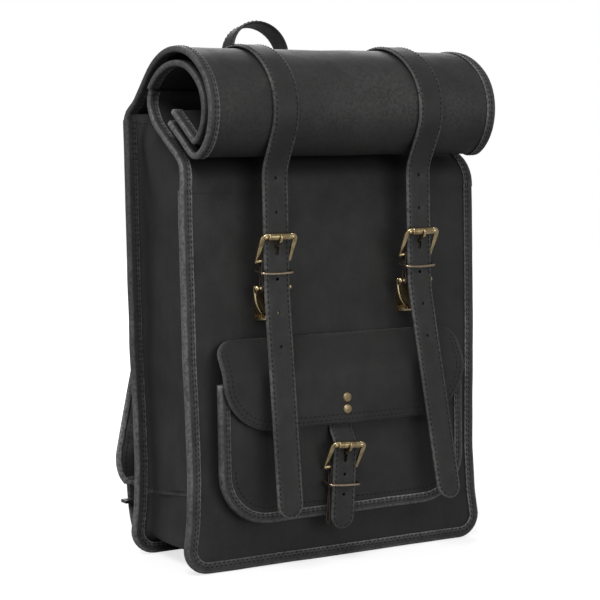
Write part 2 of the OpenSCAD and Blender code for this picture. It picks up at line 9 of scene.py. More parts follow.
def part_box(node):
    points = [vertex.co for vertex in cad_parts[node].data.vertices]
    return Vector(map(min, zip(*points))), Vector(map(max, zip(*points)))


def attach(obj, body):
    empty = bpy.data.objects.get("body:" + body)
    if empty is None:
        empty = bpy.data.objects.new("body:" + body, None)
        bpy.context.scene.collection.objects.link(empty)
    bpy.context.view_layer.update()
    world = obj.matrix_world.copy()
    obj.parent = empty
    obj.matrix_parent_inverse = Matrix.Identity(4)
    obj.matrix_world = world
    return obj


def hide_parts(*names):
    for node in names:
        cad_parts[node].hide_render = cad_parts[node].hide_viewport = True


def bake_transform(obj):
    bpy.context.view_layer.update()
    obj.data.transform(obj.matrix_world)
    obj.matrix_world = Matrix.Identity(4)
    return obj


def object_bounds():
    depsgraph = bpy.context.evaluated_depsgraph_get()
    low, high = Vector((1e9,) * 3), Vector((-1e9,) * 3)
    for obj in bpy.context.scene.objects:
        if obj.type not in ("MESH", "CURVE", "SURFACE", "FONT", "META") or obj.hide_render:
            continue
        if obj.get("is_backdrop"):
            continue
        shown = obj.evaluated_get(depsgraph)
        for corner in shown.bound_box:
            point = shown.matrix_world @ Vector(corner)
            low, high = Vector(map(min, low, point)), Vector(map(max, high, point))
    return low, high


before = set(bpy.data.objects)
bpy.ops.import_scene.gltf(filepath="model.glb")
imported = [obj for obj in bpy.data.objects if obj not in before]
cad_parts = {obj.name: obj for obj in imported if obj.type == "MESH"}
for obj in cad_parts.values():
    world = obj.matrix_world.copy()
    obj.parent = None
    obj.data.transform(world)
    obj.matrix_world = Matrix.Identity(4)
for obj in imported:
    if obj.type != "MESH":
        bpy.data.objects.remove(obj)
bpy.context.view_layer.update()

MM = 0.001
SIDES = (("left", -1), ("right", 1))


def cad(node):
    """Lowest and highest corner of a CAD node, in millimetres."""
    low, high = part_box(node)
    return np.array(low) / MM, np.array(high) / MM


# ---------------------------------------------------------------- sizes, all from the CAD frame
FRONT = cad("front_panel")[0][1]
PANEL_LOW = cad("front_panel")[0][2]
PANEL_TOP = cad("front_panel")[1][2]
BACK = cad("back_panel")[1][1]
BACK_TOP = cad("back_panel")[1][2]
BASE_HALF = cad("front_panel")[1][0]
LEATHER = 2.4
WEB = 12.0
FLANGE_Y = BACK - LEATHER - 0.2
SEAM_Z = cad("left_gusset")[0][2]
TONGUE_HALF = cad("back_tongue_top")[1][0]
TONGUE_T = 3.0
LAYER_GAP = 12.0
STRAP_W = cad("left_strap_leg")[1][0] - cad("left_strap_leg")[0][0]
STRAP_X = (cad("right_strap_leg")[1][0] + cad("right_strap_leg")[0][0]) / 2
STRAP_T = 3.4
STRAP_D = -2.1
POCKET_HALF = cad("pocket_front")[1][0]
POCKET_LOW = cad("pocket_front")[0][2]
POCKET_TOP = cad("pocket_front")[1][2]
POCKET_Y = cad("pocket_front")[0][1]
POCKET_R = 44.0
FLAP_TOP = cad("pocket_flap")[1][2]
FLAP_LOW = cad("pocket_flap")[0][2]
FLAP_T = 2.6

# ---------------------------------------------------------------- paths in the YZ plane
def step_to(p, h, length, turn, t):
    """Where a step of a path has got to at t, and its heading in degrees there."""
    if turn == 0:
        return p + length * t * np.array([math.cos(math.radians(h)), math.sin(math.radians(h))]), h
    r = length / math.radians(turn)
    a, b = math.radians(h), math.radians(h + turn * t)
    return p + r * np.array([math.sin(b) - math.sin(a), math.cos(a) - math.cos(b)]), h + turn * t


class Path:
    """A path of straight and curved steps, read by distance along it."""

    def __init__(self, start, heading, steps):
        self.start, self.heading, self.steps = np.array(start, float), heading, steps
        self.length = sum(s[0] for s in steps)

    def at(self, s):
        p, h = self.start, self.heading
        for i, (length, turn) in enumerate(self.steps):
            if s <= length or i == len(self.steps) - 1:
                return step_to(p, h, length, turn, s / length)
            p, h = step_to(p, h, length, turn, 1)
            s -= length

    def points(self, ss, d=0.0):
        """Points and left normals at distances ss, moved d to the left of the heading."""
        got = [self.at(s) for s in ss]
        pos = np.array([g[0] for g in got])
        head = np.radians([g[1] for g in got])
        nor = np.stack([-np.sin(head), np.cos(head)], 1)
        return pos + d * nor, nor

    def spaced(self, a, b, pitch=4.0, extra=()):
        """Distances from a to b at about the pitch, with extra ones kept exactly."""
        base = np.linspace(a, b, max(2, int(round((b - a) / pitch)) + 1))
        extra = np.array(sorted(extra))
        if len(extra):
            near = np.abs(base[:, None] - extra[None]).min(1) < pitch * 0.35
            near[0] = near[-1] = False
            base = np.concatenate([base[~near], extra])
        return np.unique(np.round(base, 4))


def end_of(path):
    return path.at(path.length)


RISE_START, RISE_H, RISE_L = np.array([BACK + 1, BACK_TOP + 3]), 139.5, 50.0
CROWN = (120.0, 85.8)
TOP_P = step_to(RISE_START, RISE_H, RISE_L, 0, 1)[0]
CURL_P, CURL_H = step_to(TOP_P, RISE_H, *CROWN, 1)
BEND_R = 43.6
CREST = (BEND_R * math.radians(74.7), 74.7)
UNDER = [(BEND_R * math.radians(34), 34), (20.0, 62), (44.0, 0)]
LEG_P, LEG_H = step_to(CURL_P, CURL_H, *CREST, 1)
# one path for the whole roll, from low on the back panel to its curled-in end
BACK_LEAD = 14.0
ROLL = Path((BACK + 0.8, RISE_START[1] - BACK_LEAD), 90,
            [(10.0, 0), (8.0, 49.5), (RISE_L - 4.6, 0), CROWN, CREST] + UNDER)
AT_RISE = 18.0 - 4.6
AT_TOP = 18.0 + RISE_L - 4.6
AT_CURL = AT_TOP + CROWN[0]
AT_LEG = AT_CURL + CREST[0]
# the front panel folds back, climbs and joins the roll as its inner tongue
FOLD = Path((FRONT + 1.2, PANEL_TOP - 6), 90, [(6.5, 0), (26.0, -57), (52.0, 0), (24.0, 35), (17.5, 71.5)])


# ---------------------------------------------------------------- materials
def nodes_of(name):
    mat = bpy.data.materials.new(name)
    mat.use_nodes = True
    tree = mat.node_tree
    tree.nodes.clear()
    out = tree.nodes.new("ShaderNodeOutputMaterial")
    bsdf = tree.nodes.new("ShaderNodeBsdfPrincipled")
    tree.links.new(bsdf.outputs[0], out.inputs[0])
    coord = tree.nodes.new("ShaderNodeTexCoord").outputs["Object"]
    return mat, tree, bsdf, coord


def noise_at(tree, coord, size, detail=3.0, rough=0.55, stretch=None):
    """A noise whose features are about size millimetres across."""
    if stretch:
        m = tree.nodes.new("ShaderNodeMapping")
        m.inputs["Scale"].default_value = stretch
        tree.links.new(coord, m.inputs["Vector"])
        coord = m.outputs[0]
    n = tree.nodes.new("ShaderNodeTexNoise")
    n.inputs["Scale"].default_value = 1 / (size * MM)
    n.inputs["Detail"].default_value = detail
    n.inputs["Roughness"].default_value = rough
    tree.links.new(coord, n.inputs["Vector"])
    return n.outputs["Fac"]


def ramp(tree, value, low, high, a=0.0, b=1.0):
    r = tree.nodes.new("ShaderNodeMapRange")
    r.interpolation_type = "SMOOTHSTEP"
    r.inputs["From Min"].default_value, r.inputs["From Max"].default_value = low, high
    r.inputs["To Min"].default_value, r.inputs["To Max"].default_value = a, b
    tree.links.new(value, r.inputs["Value"])
    return r.outputs[0]


def math_node(tree, op, a, b):
    m = tree.nodes.new("ShaderNodeMath")
    m.operation = op
    for i, v in enumerate((a, b)):
        if isinstance(v, (int, float)):
            m.inputs[i].default_value = v
        else:
            tree.links.new(v, m.inputs[i])
    return m.outputs[0]


def mix(tree, fac, a, b):
    m = tree.nodes.new("ShaderNodeMix")
    m.data_type = "RGBA"
    tree.links.new(fac, m.inputs["Factor"])
    for name, v in (("A", a), ("B", b)):
        sock = [s for s in m.inputs if s.name == name and s.type == "RGBA"][0]
        if isinstance(v, tuple):
            sock.default_value = (*v, 1)
        else:
            tree.links.new(v, sock)
    return [s for s in m.outputs if s.type == "RGBA"][0]


def bump(tree, bsdf, height, strength, distance, under=None):
    b = tree.nodes.new("ShaderNodeBump")
    b.inputs["Strength"].default_value = strength
    b.inputs["Distance"].default_value = distance * MM
    tree.links.new(height, b.inputs["Height"])
    if under:
        tree.links.new(under, b.inputs["Normal"])
    tree.links.new(b.outputs[0], bsdf.inputs["Normal"])
    return b.outputs[0]


def leather(name, dark, light, worn, rough=0.56, patch=38.0, grain=1.1):
    """Matte leather: cloudy pull-up tones, fine grain, rubbed marks, and a paler worn edge, whose wear
    attribute also carries painted highlights.
    """
    mat, tree, bsdf, coord = nodes_of(name)
    cloud = noise_at(tree, coord, patch, 5.0, 0.6)
    streak = noise_at(tree, coord, 9.0, 4.0, 0.65, (1.0, 1.0, 0.45))
    fine = noise_at(tree, coord, 2.2, 4.0, 0.7)
    tone = math_node(tree, "ADD", math_node(tree, "MULTIPLY", cloud, 0.62),
                     math_node(tree, "ADD", math_node(tree, "MULTIPLY", streak, 0.24),
                               math_node(tree, "MULTIPLY", fine, 0.14)))
    color = mix(tree, ramp(tree, tone, 0.28, 0.72), dark, light)
    rub = ramp(tree, noise_at(tree, coord, 5.0, 6.0, 0.75, (1.6, 1.6, 0.5)), 0.60, 0.74, 0, 0.22)
    color = mix(tree, rub, color, worn)
    # the wear attribute is real edge wear plus painted highlights on binding corners and the front of the
    # roll
    attr = tree.nodes.new("ShaderNodeAttribute")
    attr.attribute_name = "wear"
    scuff = math_node(tree, "MULTIPLY", ramp(tree, noise_at(tree, coord, 3.0, 5.0, 0.7), 0.34, 0.62, 0.2,
                                             1.0),
                      ramp(tree, noise_at(tree, coord, 90.0, 2.0), 0.36, 0.60, 0.40, 1.1))
    color = mix(tree, math_node(tree, "MULTIPLY", attr.outputs["Fac"], scuff), color, worn)
    tree.links.new(color, bsdf.inputs["Base Color"])
    tree.links.new(ramp(tree, tone, 0.3, 0.7, rough + 0.08, rough - 0.07), bsdf.inputs["Roughness"])
    bsdf.inputs["Specular IOR Level"].default_value = 0.33
    cell = tree.nodes.new("ShaderNodeTexVoronoi")
    cell.inputs["Scale"].default_value = 1 / (grain * MM)
    cell.feature = "SMOOTH_F1"
    tree.links.new(coord, cell.inputs["Vector"])
    first = bump(tree, bsdf, cell.outputs["Distance"], 0.30, grain * 0.16)
    bump(tree, bsdf, noise_at(tree, coord, 7.0, 5.0, 0.62), 0.28, 0.5, first)
    return mat


def brass(name, bright, patina, rough=0.30, metallic=1.0):
    """Antique brass: bright where it is rubbed, brown in its hollows."""
    mat, tree, bsdf, coord = nodes_of(name)
    geo = tree.nodes.new("ShaderNodeNewGeometry")
    edge = ramp(tree, geo.outputs["Pointiness"], 0.47, 0.56)
    cloud = ramp(tree, noise_at(tree, coord, 9.0, 3.0, 0.5), 0.30, 0.70)
    shine = math_node(tree, "ADD", math_node(tree, "MULTIPLY", edge, 0.55),
                      math_node(tree, "MULTIPLY", cloud, 0.5))
    color = mix(tree, ramp(tree, shine, 0.15, 0.85), patina, bright)
    tree.links.new(color, bsdf.inputs["Base Color"])
    bsdf.inputs["Metallic"].default_value = metallic
    tree.links.new(ramp(tree, shine, 0.1, 0.9, rough + 0.16, rough), bsdf.inputs["Roughness"])
    bump(tree, bsdf, noise_at(tree, coord, 1.2, 4.0, 0.6), 0.10, 0.08)
    return mat


def plain(name, a, b, size, rough):
    """A matte material with a little mottling and fine relief."""
    mat, tree, bsdf, coord = nodes_of(name)
    n = noise_at(tree, coord, size, 4.0, 0.6)
    tree.links.new(mix(tree, ramp(tree, n, 0.35, 0.65), a, b), bsdf.inputs["Base Color"])
    bsdf.inputs["Roughness"].default_value = rough
    bump(tree, bsdf, n, 0.4, 0.1)
    return mat


def woven(name, a, b, pitch):
    """Plain-woven cotton: two crossed waves give the threads."""
    mat, tree, bsdf, coord = nodes_of(name)
    heights = []
    for axis in ("X", "Z"):
        w = tree.nodes.new("ShaderNodeTexWave")
        w.bands_direction = axis
        w.inputs["Scale"].default_value = 0.32 / (pitch * MM)
        tree.links.new(coord, w.inputs["Vector"])
        heights.append(w.outputs["Fac"])
    weave = math_node(tree, "MULTIPLY", *heights)
    tree.links.new(mix(tree, weave, a, b), bsdf.inputs["Base Color"])
    bsdf.inputs["Roughness"].default_value = 0.9
    bump(tree, bsdf, weave, 0.5, 0.3)
    return mat


BODY = leather("body_leather", (0.0120, 0.0118, 0.0116), (0.0215, 0.0212, 0.0209), (0.060, 0.059, 0.058))
STRAP = leather("strap_leather", (0.0150, 0.0148, 0.0146), (0.0240, 0.0237, 0.0234), (0.090, 0.089, 0.087),
                0.54, 24.0)
BIND = leather("binding_leather", (0.018, 0.018, 0.018), (0.038, 0.038, 0.038), (0.24, 0.24, 0.24), 0.55,
               9.0, 0.9)
PAD = leather("padded_leather", (0.0115, 0.0113, 0.0112), (0.0210, 0.0208, 0.0205), (0.05, 0.05, 0.05),
              0.58, 30.0)
RAW = plain("raw_edge", (0.026, 0.016, 0.013), (0.060, 0.032, 0.024), 2.0, 0.85)
THREAD = plain("thread", (0.0015, 0.0015, 0.0015), (0.004, 0.004, 0.004), 1.0, 0.8)
FABRIC = woven("lining_fabric", (0.13, 0.10, 0.07), (0.30, 0.25, 0.18), 0.9)
BOARD = plain("board", (0.16, 0.14, 0.10), (0.24, 0.21, 0.16), 6.0, 0.8)
BRASS = brass("antique_brass", (0.62, 0.50, 0.29), (0.26, 0.185, 0.090), 0.22)
WIRE = brass("keeper_wire", (0.42, 0.34, 0.25), (0.24, 0.16, 0.09), 0.26)
COATED = plain("black_metal", (0.010, 0.010, 0.011), (0.020, 0.020, 0.021), 3.0, 0.35)
RIVET = brass("rivet_brass", (0.42, 0.33, 0.19), (0.17, 0.13, 0.075), 0.40, 0.9)


# ---------------------------------------------------------------- mesh building, in millimetres
def unit(v):
    v = np.asarray(v, float)
    return v / np.maximum(np.linalg.norm(v, axis=-1, keepdims=True), 1e-9)


def ruffle(p, size, seed=0.0):
    """Smooth noise, about -1 to 1, for a list of points."""
    return np.array([noise.noise(Vector(q) / size + Vector((seed, seed * 0.7, -seed)))
                     for q in np.asarray(p)])


class Form:
    """Collects the faces of one piece."""

    def __init__(self):
        self.v, self.f, self.m, self.w, self.n = [], [], [], [], 0

    def add(self, points, faces, wear=0.0, mat=0):
        points = np.asarray(points, float).reshape(-1, 3)
        self.v.append(points)
        self.w.append(np.broadcast_to(np.asarray(wear, float).reshape(-1), len(points)) if np.size(wear) == 1
                      else np.asarray(wear, float).reshape(-1))
        self.f += [tuple(int(i) + self.n for i in f) for f in faces]
        self.m += [mat] * len(faces)
        self.n += len(points)

    def piece(self, name, mats, body=None, slot=None, replaces=()):
        """Makes the object, hangs it under the empty of the body it rides on, and hides the CAD nodes it
        stands for.
        """
        mesh = bpy.data.meshes.new(name)
        mesh.from_pydata([tuple(p) for p in np.concatenate(self.v) * MM], [], self.f)
        for m in mats:
            mesh.materials.append(m)
        mesh.polygons.foreach_set("material_index", self.m)
        wear = np.concatenate(self.w).astype(np.float32)
        mesh.attributes.new("wear", "FLOAT", "POINT").data.foreach_set("value", wear)
        bm = bmesh.new()
        bm.from_mesh(mesh)
        bmesh.ops.recalc_face_normals(bm, faces=bm.faces)
        bm.to_mesh(mesh)
        bm.free()
        mesh.shade_smooth()
        obj = bpy.data.objects.new(name, mesh)
        bpy.context.scene.collection.objects.link(obj)
        if replaces:
            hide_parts(*replaces)
        if body:
            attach(obj, body)
        return obj


def quads(m, k, loop_rows=False, loop_cols=False, skip=()):
    skip = set(skip)
    return [(i * k + j, i * k + (j + 1) % k, (i + 1) % m * k + (j + 1) % k, (i + 1) % m * k + j)
            for i in range(m if loop_rows else m - 1) for j in range(k if loop_cols else k - 1)
            if (i, j) not in skip]


def normals_of(P):
    return unit(np.cross(np.gradient(P, axis=0), np.gradient(P, axis=1)))


def border_distance(P, joined=(False, False)):
    """How far each point of a grid is from its border. A joined end row carries on into another piece."""
    rows = np.concatenate([np.zeros((1, P.shape[1])),
                           np.cumsum(np.linalg.norm(np.diff(P, axis=0), axis=2), 0)])
    cols = np.concatenate([np.zeros((P.shape[0], 1)),
                           np.cumsum(np.linalg.norm(np.diff(P, axis=1), axis=2), 1)], 1)
    first, last = (np.inf if end else 0.0 for end in joined)
    return np.minimum(np.minimum(rows + first, rows[-1:] - rows + last),
                      np.minimum(cols, cols[:, -1:] - cols))


def slab(form, P, t, out, wear=1.0, mat=0, soft=0.22, holes=(), joined=(False, False), tint=0.0):
    """A sheet of leather: P is a grid of points on its face, out a rough outward direction.
    Its edge is rounded and worn, and it is t thick. holes are (row, column, cells, half width, half length)
    of square blocks of cells that are opened and rounded. joined says whether the first and the last row
    carry on into another piece, and tint adds to the pale wear colour; callers use it for wear and
    for painted highlights. Returns the face and its normals."""
    P = P.copy()
    N = normals_of(P)
    if (N.reshape(-1, 3) @ np.asarray(out, float)).sum() < 0 if np.ndim(out) == 1 else (N * out).sum() < 0:
        N = -N
    m, k = P.shape[:2]
    dist = border_distance(P, joined)
    gone, walls = [], []
    for i0, j0, n, a, b in holes:
        ci, cj = i0 + n // 2, j0 + n // 2
        centre = P[ci, cj]
        du, dv = unit(P[ci + 1, cj] - P[ci - 1, cj]), unit(P[ci, cj + 1] - P[ci, cj - 1])
        ring = ([(i0, j0 + q) for q in range(n)] + [(i0 + q, j0 + n) for q in range(n)]
                + [(i0 + n, j0 + n - q) for q in range(n)] + [(i0 + n - q, j0) for q in range(n)])
        for i, j in ring:
            angle = math.atan2((i - i0) * 2 / n - 1, (j - j0) * 2 / n - 1)
            s, c = math.sin(angle), math.cos(angle)
            P[i, j] = centre + dv * a * c + du * (a * s + (b - a) * max(-1, min(1, s * 1.8)))
            dist[i, j] = min(dist[i, j], 0.6)
        gone += [(i, j) for i in range(i0, i0 + n) for j in range(j0, j0 + n)]
        walls.append(ring)
    drop = soft * t * np.exp(-(dist / (0.45 * t)) ** 2)
    face = P - N * drop[..., None]
    back = P - N * (t - drop)[..., None]
    # the added amount is wear and, from some callers, a painted highlight
    W = wear * np.exp(-dist / 1.3) + tint
    for ring in walls:
        for i, j in ring:
            W[i, j] = 0.08
    form.add(face, quads(m, k, skip=gone), W, mat)
    form.add(back, quads(m, k, skip=gone), W * 0.5, mat)
    for ring in walls:
        a = np.array([face[i, j] for i, j in ring])
        b = np.array([back[i, j] for i, j in ring])
        form.add(np.concatenate([a, b]).reshape(2, -1, 3), quads(2, len(ring), loop_cols=True), 0.1, mat)
    loop = ([(0, j) for j in range(k - 1)] + [(i, k - 1) for i in range(m - 1)]
            + [(m - 1, j) for j in range(k - 1, 0, -1)] + [(i, 0) for i in range(m - 1, 0, -1)])
    L = np.array([P[i, j] for i, j in loop])
    LN = np.array([N[i, j] for i, j in loop])
    LD = np.array([drop[i, j] for i, j in loop])
    tangent = unit(np.roll(L, -1, 0) - np.roll(L, 1, 0))
    away = unit(np.cross(tangent, LN))
    if (away * (L - L.mean(0))).sum() < 0:
        away = -away
    half = t / 2 - LD
    # a joined end is cut flat; every other edge is rounded out and worn
    open_edge = np.array([not ((i == 0 and joined[0]) or (i == m - 1 and joined[1])) or j in (0, k - 1)
                          for i, j in loop], float)
    corner = np.array([((i == 0 and joined[0]) or (i == m - 1 and joined[1])) and j in (0, k - 1) for i,
                       j in loop])
    side_way = np.array([unit(P[i, j] - P[i, 1 if j == 0 else k - 2]) for i, j in loop])
    away[corner] = side_way[corner]
    rings, worn = [], []
    for angle, rub in ((0, 1), (35, 1), (65, 1), (90, 0.8), (115, 0.6), (145, 0.5), (180, 0.5)):
        s, c = math.sin(math.radians(angle)), math.cos(math.radians(angle))
        rings.append(L - LN * (t / 2) + LN * (half * c)[:, None] + away * (0.42 * t * s * open_edge)[:, None])
        worn.append(wear * rub * open_edge)
    form.add(np.array(rings), quads(len(rings), len(loop), loop_cols=True), np.ravel(worn), mat)
    return face, N


def sweep(form, centres, A, B, section, wear=0.0, closed=False, scale=None):
    """A tube: the section's points (a, b) are laid out along A and B at each centre."""
    centres, A, B = (np.asarray(x, float) for x in (centres, A, B))
    section = np.asarray(section, float)
    s = np.ones(len(centres)) if scale is None else np.asarray(scale, float)
    P = (centres[:, None] + A[:, None] * section[None, :, :1] * s[:, None, None]
         + B[:, None] * section[None, :, 1:] * s[:, None, None])
    form.add(P, quads(len(P), len(section), loop_rows=closed, loop_cols=True), wear)
    if not closed:
        for row in (0, len(P) - 1):
            form.add(P[row], [tuple(range(len(section)))])


def rounded(a, b, r, n=4):
    """A rounded rectangle's outline, 2a by 2b."""
    return [(sx * (a - r) + r * math.cos(t), sy * (b - r) + r * math.sin(t))
            for sx, sy, q in ((1, 1, 0), (-1, 1, 1), (-1, -1, 2), (1, -1, 3))
            for t in np.radians(np.linspace(q * 90, q * 90 + 90, n))]


def round_bar(form, r, x0, x1, y, z, ends=0.4, n=20):
    """A bar along X with softened ends."""
    xs = [x0, x0, x0 + ends, x1 - ends, x1, x1]
    rs = [0.02, r - ends, r, r, r - ends, 0.02]
    t = np.linspace(0, 2 * math.pi, n, endpoint=False)
    P = np.array([[(x, y + q * math.cos(a), z + q * math.sin(a)) for a in t] for x, q in zip(xs, rs)])
    form.add(P, quads(len(P), n, loop_cols=True))


def smooth_line(points, n):
    """A Catmull-Rom line through the points."""
    p = np.asarray(points, float)
    p = np.concatenate([[2 * p[0] - p[1]], p, [2 * p[-1] - p[-2]]])
    out = []
    for i in range(1, len(p) - 2):
        for t in np.linspace(0, 1, n, endpoint=False):
            out.append(0.5 * (2 * p[i] + (p[i + 1] - p[i - 1]) * t
                              + (2 * p[i - 1] - 5 * p[i] + 4 * p[i + 1] - p[i + 2]) * t ** 2
                              + (3 * p[i] - p[i - 1] - 3 * p[i + 1] + p[i + 2]) * t ** 3))
    return np.array(out + [p[-2]])


STITCH_RINGS = ((-1.0, 0.05, -0.9), (-0.8, 0.75, -0.25), (0.0, 1.0, 0.1), (0.8, 0.75, -0.25),
                (1.0, 0.05, -0.9))


STITCH_PITCH, STITCH_L, STITCH_R, STITCH_SLANT = 4.6, 3.1, 0.54, math.radians(9.0)


def stitches(form, line, nor, mat):
    """Sewn thread along a line: short slanted stitches whose ends sink into the leather."""
    line, nor = np.asarray(line, float), np.asarray(nor, float)
    run = np.concatenate([[0], np.cumsum(np.linalg.norm(np.diff(line, axis=0), axis=1))])
    count = max(1, int(run[-1] / STITCH_PITCH))
    at = (np.arange(count) + 0.5) * run[-1] / count
    pos = np.stack([np.interp(at, run, line[:, c]) for c in range(3)], 1)
    ahead = np.stack([np.interp(at + 0.5, run, line[:, c]) for c in range(3)], 1)
    behind = np.stack([np.interp(at - 0.5, run, line[:, c]) for c in range(3)], 1)
    n = unit(np.stack([np.interp(at, run, nor[:, c]) for c in range(3)], 1))
    t = unit(ahead - behind)
    b = unit(np.cross(n, t))
    c, s = math.cos(STITCH_SLANT), math.sin(STITCH_SLANT)
    t, b = t * c + b * s, b * c - t * s
    sides = 6
    angles = np.linspace(0, 2 * math.pi, sides, endpoint=False)
    r = STITCH_R
    local = np.array([(u * STITCH_L / 2, q * r * math.cos(v), q * r * math.sin(v) * 0.8 + h * r)
                      for u, q, h in STITCH_RINGS for v in angles])
    P = (pos[:, None] + t[:, None] * local[None, :, :1] + b[:, None] * local[None, :, 1:2]
         + n[:, None] * local[None, :, 2:])
    one = quads(len(STITCH_RINGS), sides, loop_cols=True)
    caps = [tuple(range(sides)), tuple(range(len(local) - sides, len(local)))]
    form.add(P, [tuple(i + len(local) * q for i in f) for q in range(count) for f in one + caps], 0, mat)


def across(half, fine=(0, 0.5, 1.2, 2.2, 3.4, 5.2), pitch=6.0, centre=()):
    """Positions across a strap, fine near its edges, with given ones about its middle."""
    inner = half - fine[-1]
    base = np.linspace(-inner, inner, max(2, int(2 * inner / pitch) + 1))
    centre = np.array(centre)
    if len(centre):
        base = base[np.abs(base[:, None] - centre[None]).min(1) > pitch * 0.25]
    return np.unique(np.round(np.concatenate([-half + np.array(fine), half - np.array(fine), base, centre]),
                              4))


def yz(x, p):
    """3-D points from x values and YZ points."""
    p = np.asarray(p)
    return np.concatenate([np.broadcast_to(np.asarray(x, float), p.shape[:-1])[..., None], p], -1)


def sheet_on(path, ss, xs, d, push=None):
    """The grid of a sheet that follows a path, at distance d to its left, and its out direction."""
    pos, nor = path.points(ss, d)
    P = np.stack([yz(x, pos) for x in xs], 1)
    if push is not None:
        P[..., 1:] += nor[:, None] * push(ss[:, None], np.asarray(xs)[None])[..., None]
    return P, nor


# ---------------------------------------------------------------- outlines of the panels
# how pale a binding's rounded corner is made: partly wear, partly a painted highlight
BIND_W, CORNER_WEAR_AND_SHEEN = 8.8, 0.46
SIDE_Z = [21.6, 45, 85, 135, 190, 300, 420]
SIDE_HALF = [BASE_HALF, BASE_HALF - 3.2, BASE_HALF - 5.2, BASE_HALF - 4.4, BASE_HALF - 3, BASE_HALF - 2.6,
             BASE_HALF - 2.5]


def side_half(z):
    return np.interp(z, SIDE_Z, SIDE_HALF)


def panel_half(z, half, low, r, side):
    """Half the width of a panel with rounded lower corners."""
    z = np.asarray(z, float)
    q = np.clip((low + r - z) / r, 0, 1)
    return np.where(z < low + r, half - r + r * np.sqrt(1 - q ** 2), side(z))


def rim_path(half, low, r, top, side, pitch=4.0):
    """The outline from the top of the left side, under the bottom, to the top of the right: points (x, z) and
    outward normals."""
    zs = np.linspace(top, low + r, max(3, int((top - low - r) / pitch)))
    right = [(side(z), z, 1.0, 0.0) for z in zs]
    right += [(half - r + r * math.cos(a), low + r + r * math.sin(a), math.cos(a), math.sin(a))
              for a in np.radians(np.linspace(0, -90, max(6, int(r / 2.2))))[1:]]
    right += [(x, low, 0.0, -1.0) for x in np.linspace(half - r, 0, int((half - r) / pitch))[1:]]
    right = np.array(right)
    left = right[:-1] * np.array([-1, 1, -1, 1])
    whole = np.concatenate([left, right[::-1]])
    return whole[:, :2], unit(whole[:, 2:])


def round_rim(form, rim, section, out_hint, t, **kw):
    """A sheet that follows an outline: section holds (distance outward, y) points."""
    pts, nor = rim
    sec = np.asarray(section, float)
    P = np.zeros((len(pts), len(sec), 3))
    P[..., 0] = pts[:, None, 0] + nor[:, None, 0] * sec[None, :, 0]
    P[..., 2] = pts[:, None, 1] + nor[:, None, 1] * sec[None, :, 0]
    P[..., 1] = sec[None, :, 1]
    return slab(form, P, t, out_hint(P, nor), **kw)


def inside_rim(rim, inset, y):
    """A line that follows an outline, inset from it, at y."""
    pts = rim[0] - rim[1] * inset
    return np.stack([pts[:, 0], np.full(len(pts), y), pts[:, 1]], 1)


def bound_section(y_face, y_back, width, over):
    """The outer profile of a binding folded over an edge, as (distance outward, y)."""
    r = 2.6
    s = 1 if y_back > y_face else -1
    arc = np.radians(np.linspace(0, 90, 6))
    inner = [(-width + q, y_face) for q in (0, 0.6, 1.5, width * 0.5, width - 1.6)]
    top = [(over - r + r * math.sin(a), y_face + s * (r - r * math.cos(a))) for a in arc]
    end = [(over - r + r * math.cos(a), y_back - s * (r - r * math.sin(a))) for a in arc]
    outer = [(-width + q, y_back) for q in (width - 1.6, width * 0.5, 1.5, 0.6, 0)]
    mid = [(over + 0.25, (y_face + y_back) / 2)]
    return np.array(inner + top + mid + end + outer)


def binding(form, rim, y_face, y_back, width=BIND_W, seed=1.0, joined=(True, True)):
    """Leather folded over a sewn edge, pale on its corner from wear and a painted highlight, with its
    stitches.
    """
    sec = bound_section(y_face, y_back, width, 1.6)
    # the corner is painted pale: partly wear, partly a painted highlight
    rubbed = CORNER_WEAR_AND_SHEEN * np.clip((sec[:, 0] + 1.6) / 1.6, 0, 1)
    pts, nor = rim
    mid_y = (y_face + y_back) / 2
    wob = ruffle(np.concatenate([pts, np.zeros((len(pts), 1))], 1), 31.0, seed)
    rim = (pts + nor * (wob * 0.35)[:, None], nor)

    def out(P, n):
        o = np.zeros_like(P)
        o[..., 1] = np.sign(P[..., 1] - mid_y)
        o[..., 0] += n[:, None, 0] * 0.6
        o[..., 2] += n[:, None, 1] * 0.6
        return o
    round_rim(form, rim, sec, out, 1.3, wear=0.9, soft=0.15, joined=joined, tint=rubbed[None])
    for y, s in ((y_face, np.sign(y_face - mid_y)), (y_back, np.sign(y_back - mid_y))):
        for inset in (width - 1.7, width - 4.2):
            line = inside_rim((pts, nor), inset, y + s * 0.05)
            stitches(form, line, np.tile([0, s, 0], (len(line), 1)), 1)


# ---------------------------------------------------------------- front and back panels
def panel_sheet(form, y, side, zs, half_at, sag, seed, t=LEATHER, cols=36, top_joined=True):
    """A panel at y, as wide at each height as half_at says, that bulges towards side and waves a little."""
    xi = np.sin(np.linspace(-math.pi / 2, math.pi / 2, cols)) * 0.5 + np.linspace(-1, 1, cols) * 0.5
    P = np.array([[(half_at(z) * q, y, z) for q in xi] for z in zs])
    flat = P.reshape(-1, 3)
    wave = (ruffle(flat, 95.0, seed) * 0.9 + ruffle(flat, 38.0, seed + 3) * 0.3).reshape(P.shape[:2])
    edge = np.clip(border_distance(P) / 40.0, 0, 1)
    P[..., 1] += side * (sag * np.sin(edge * math.pi / 2) + wave * edge)
    slab(form, P, t, (0, side, 0), joined=(False, top_joined))


def body_half(z):
    return panel_half(z, BASE_HALF, PANEL_LOW, 20.0, side_half)


RIM = rim_path(BASE_HALF, PANEL_LOW, 20.0, PANEL_TOP - 4, side_half)
BACK_RIM = rim_path(BASE_HALF, PANEL_LOW, 20.0, BACK_TOP - 5, side_half)
low_rows = PANEL_LOW + 20 * (1 - np.cos(np.linspace(0, math.pi / 2, 7)))

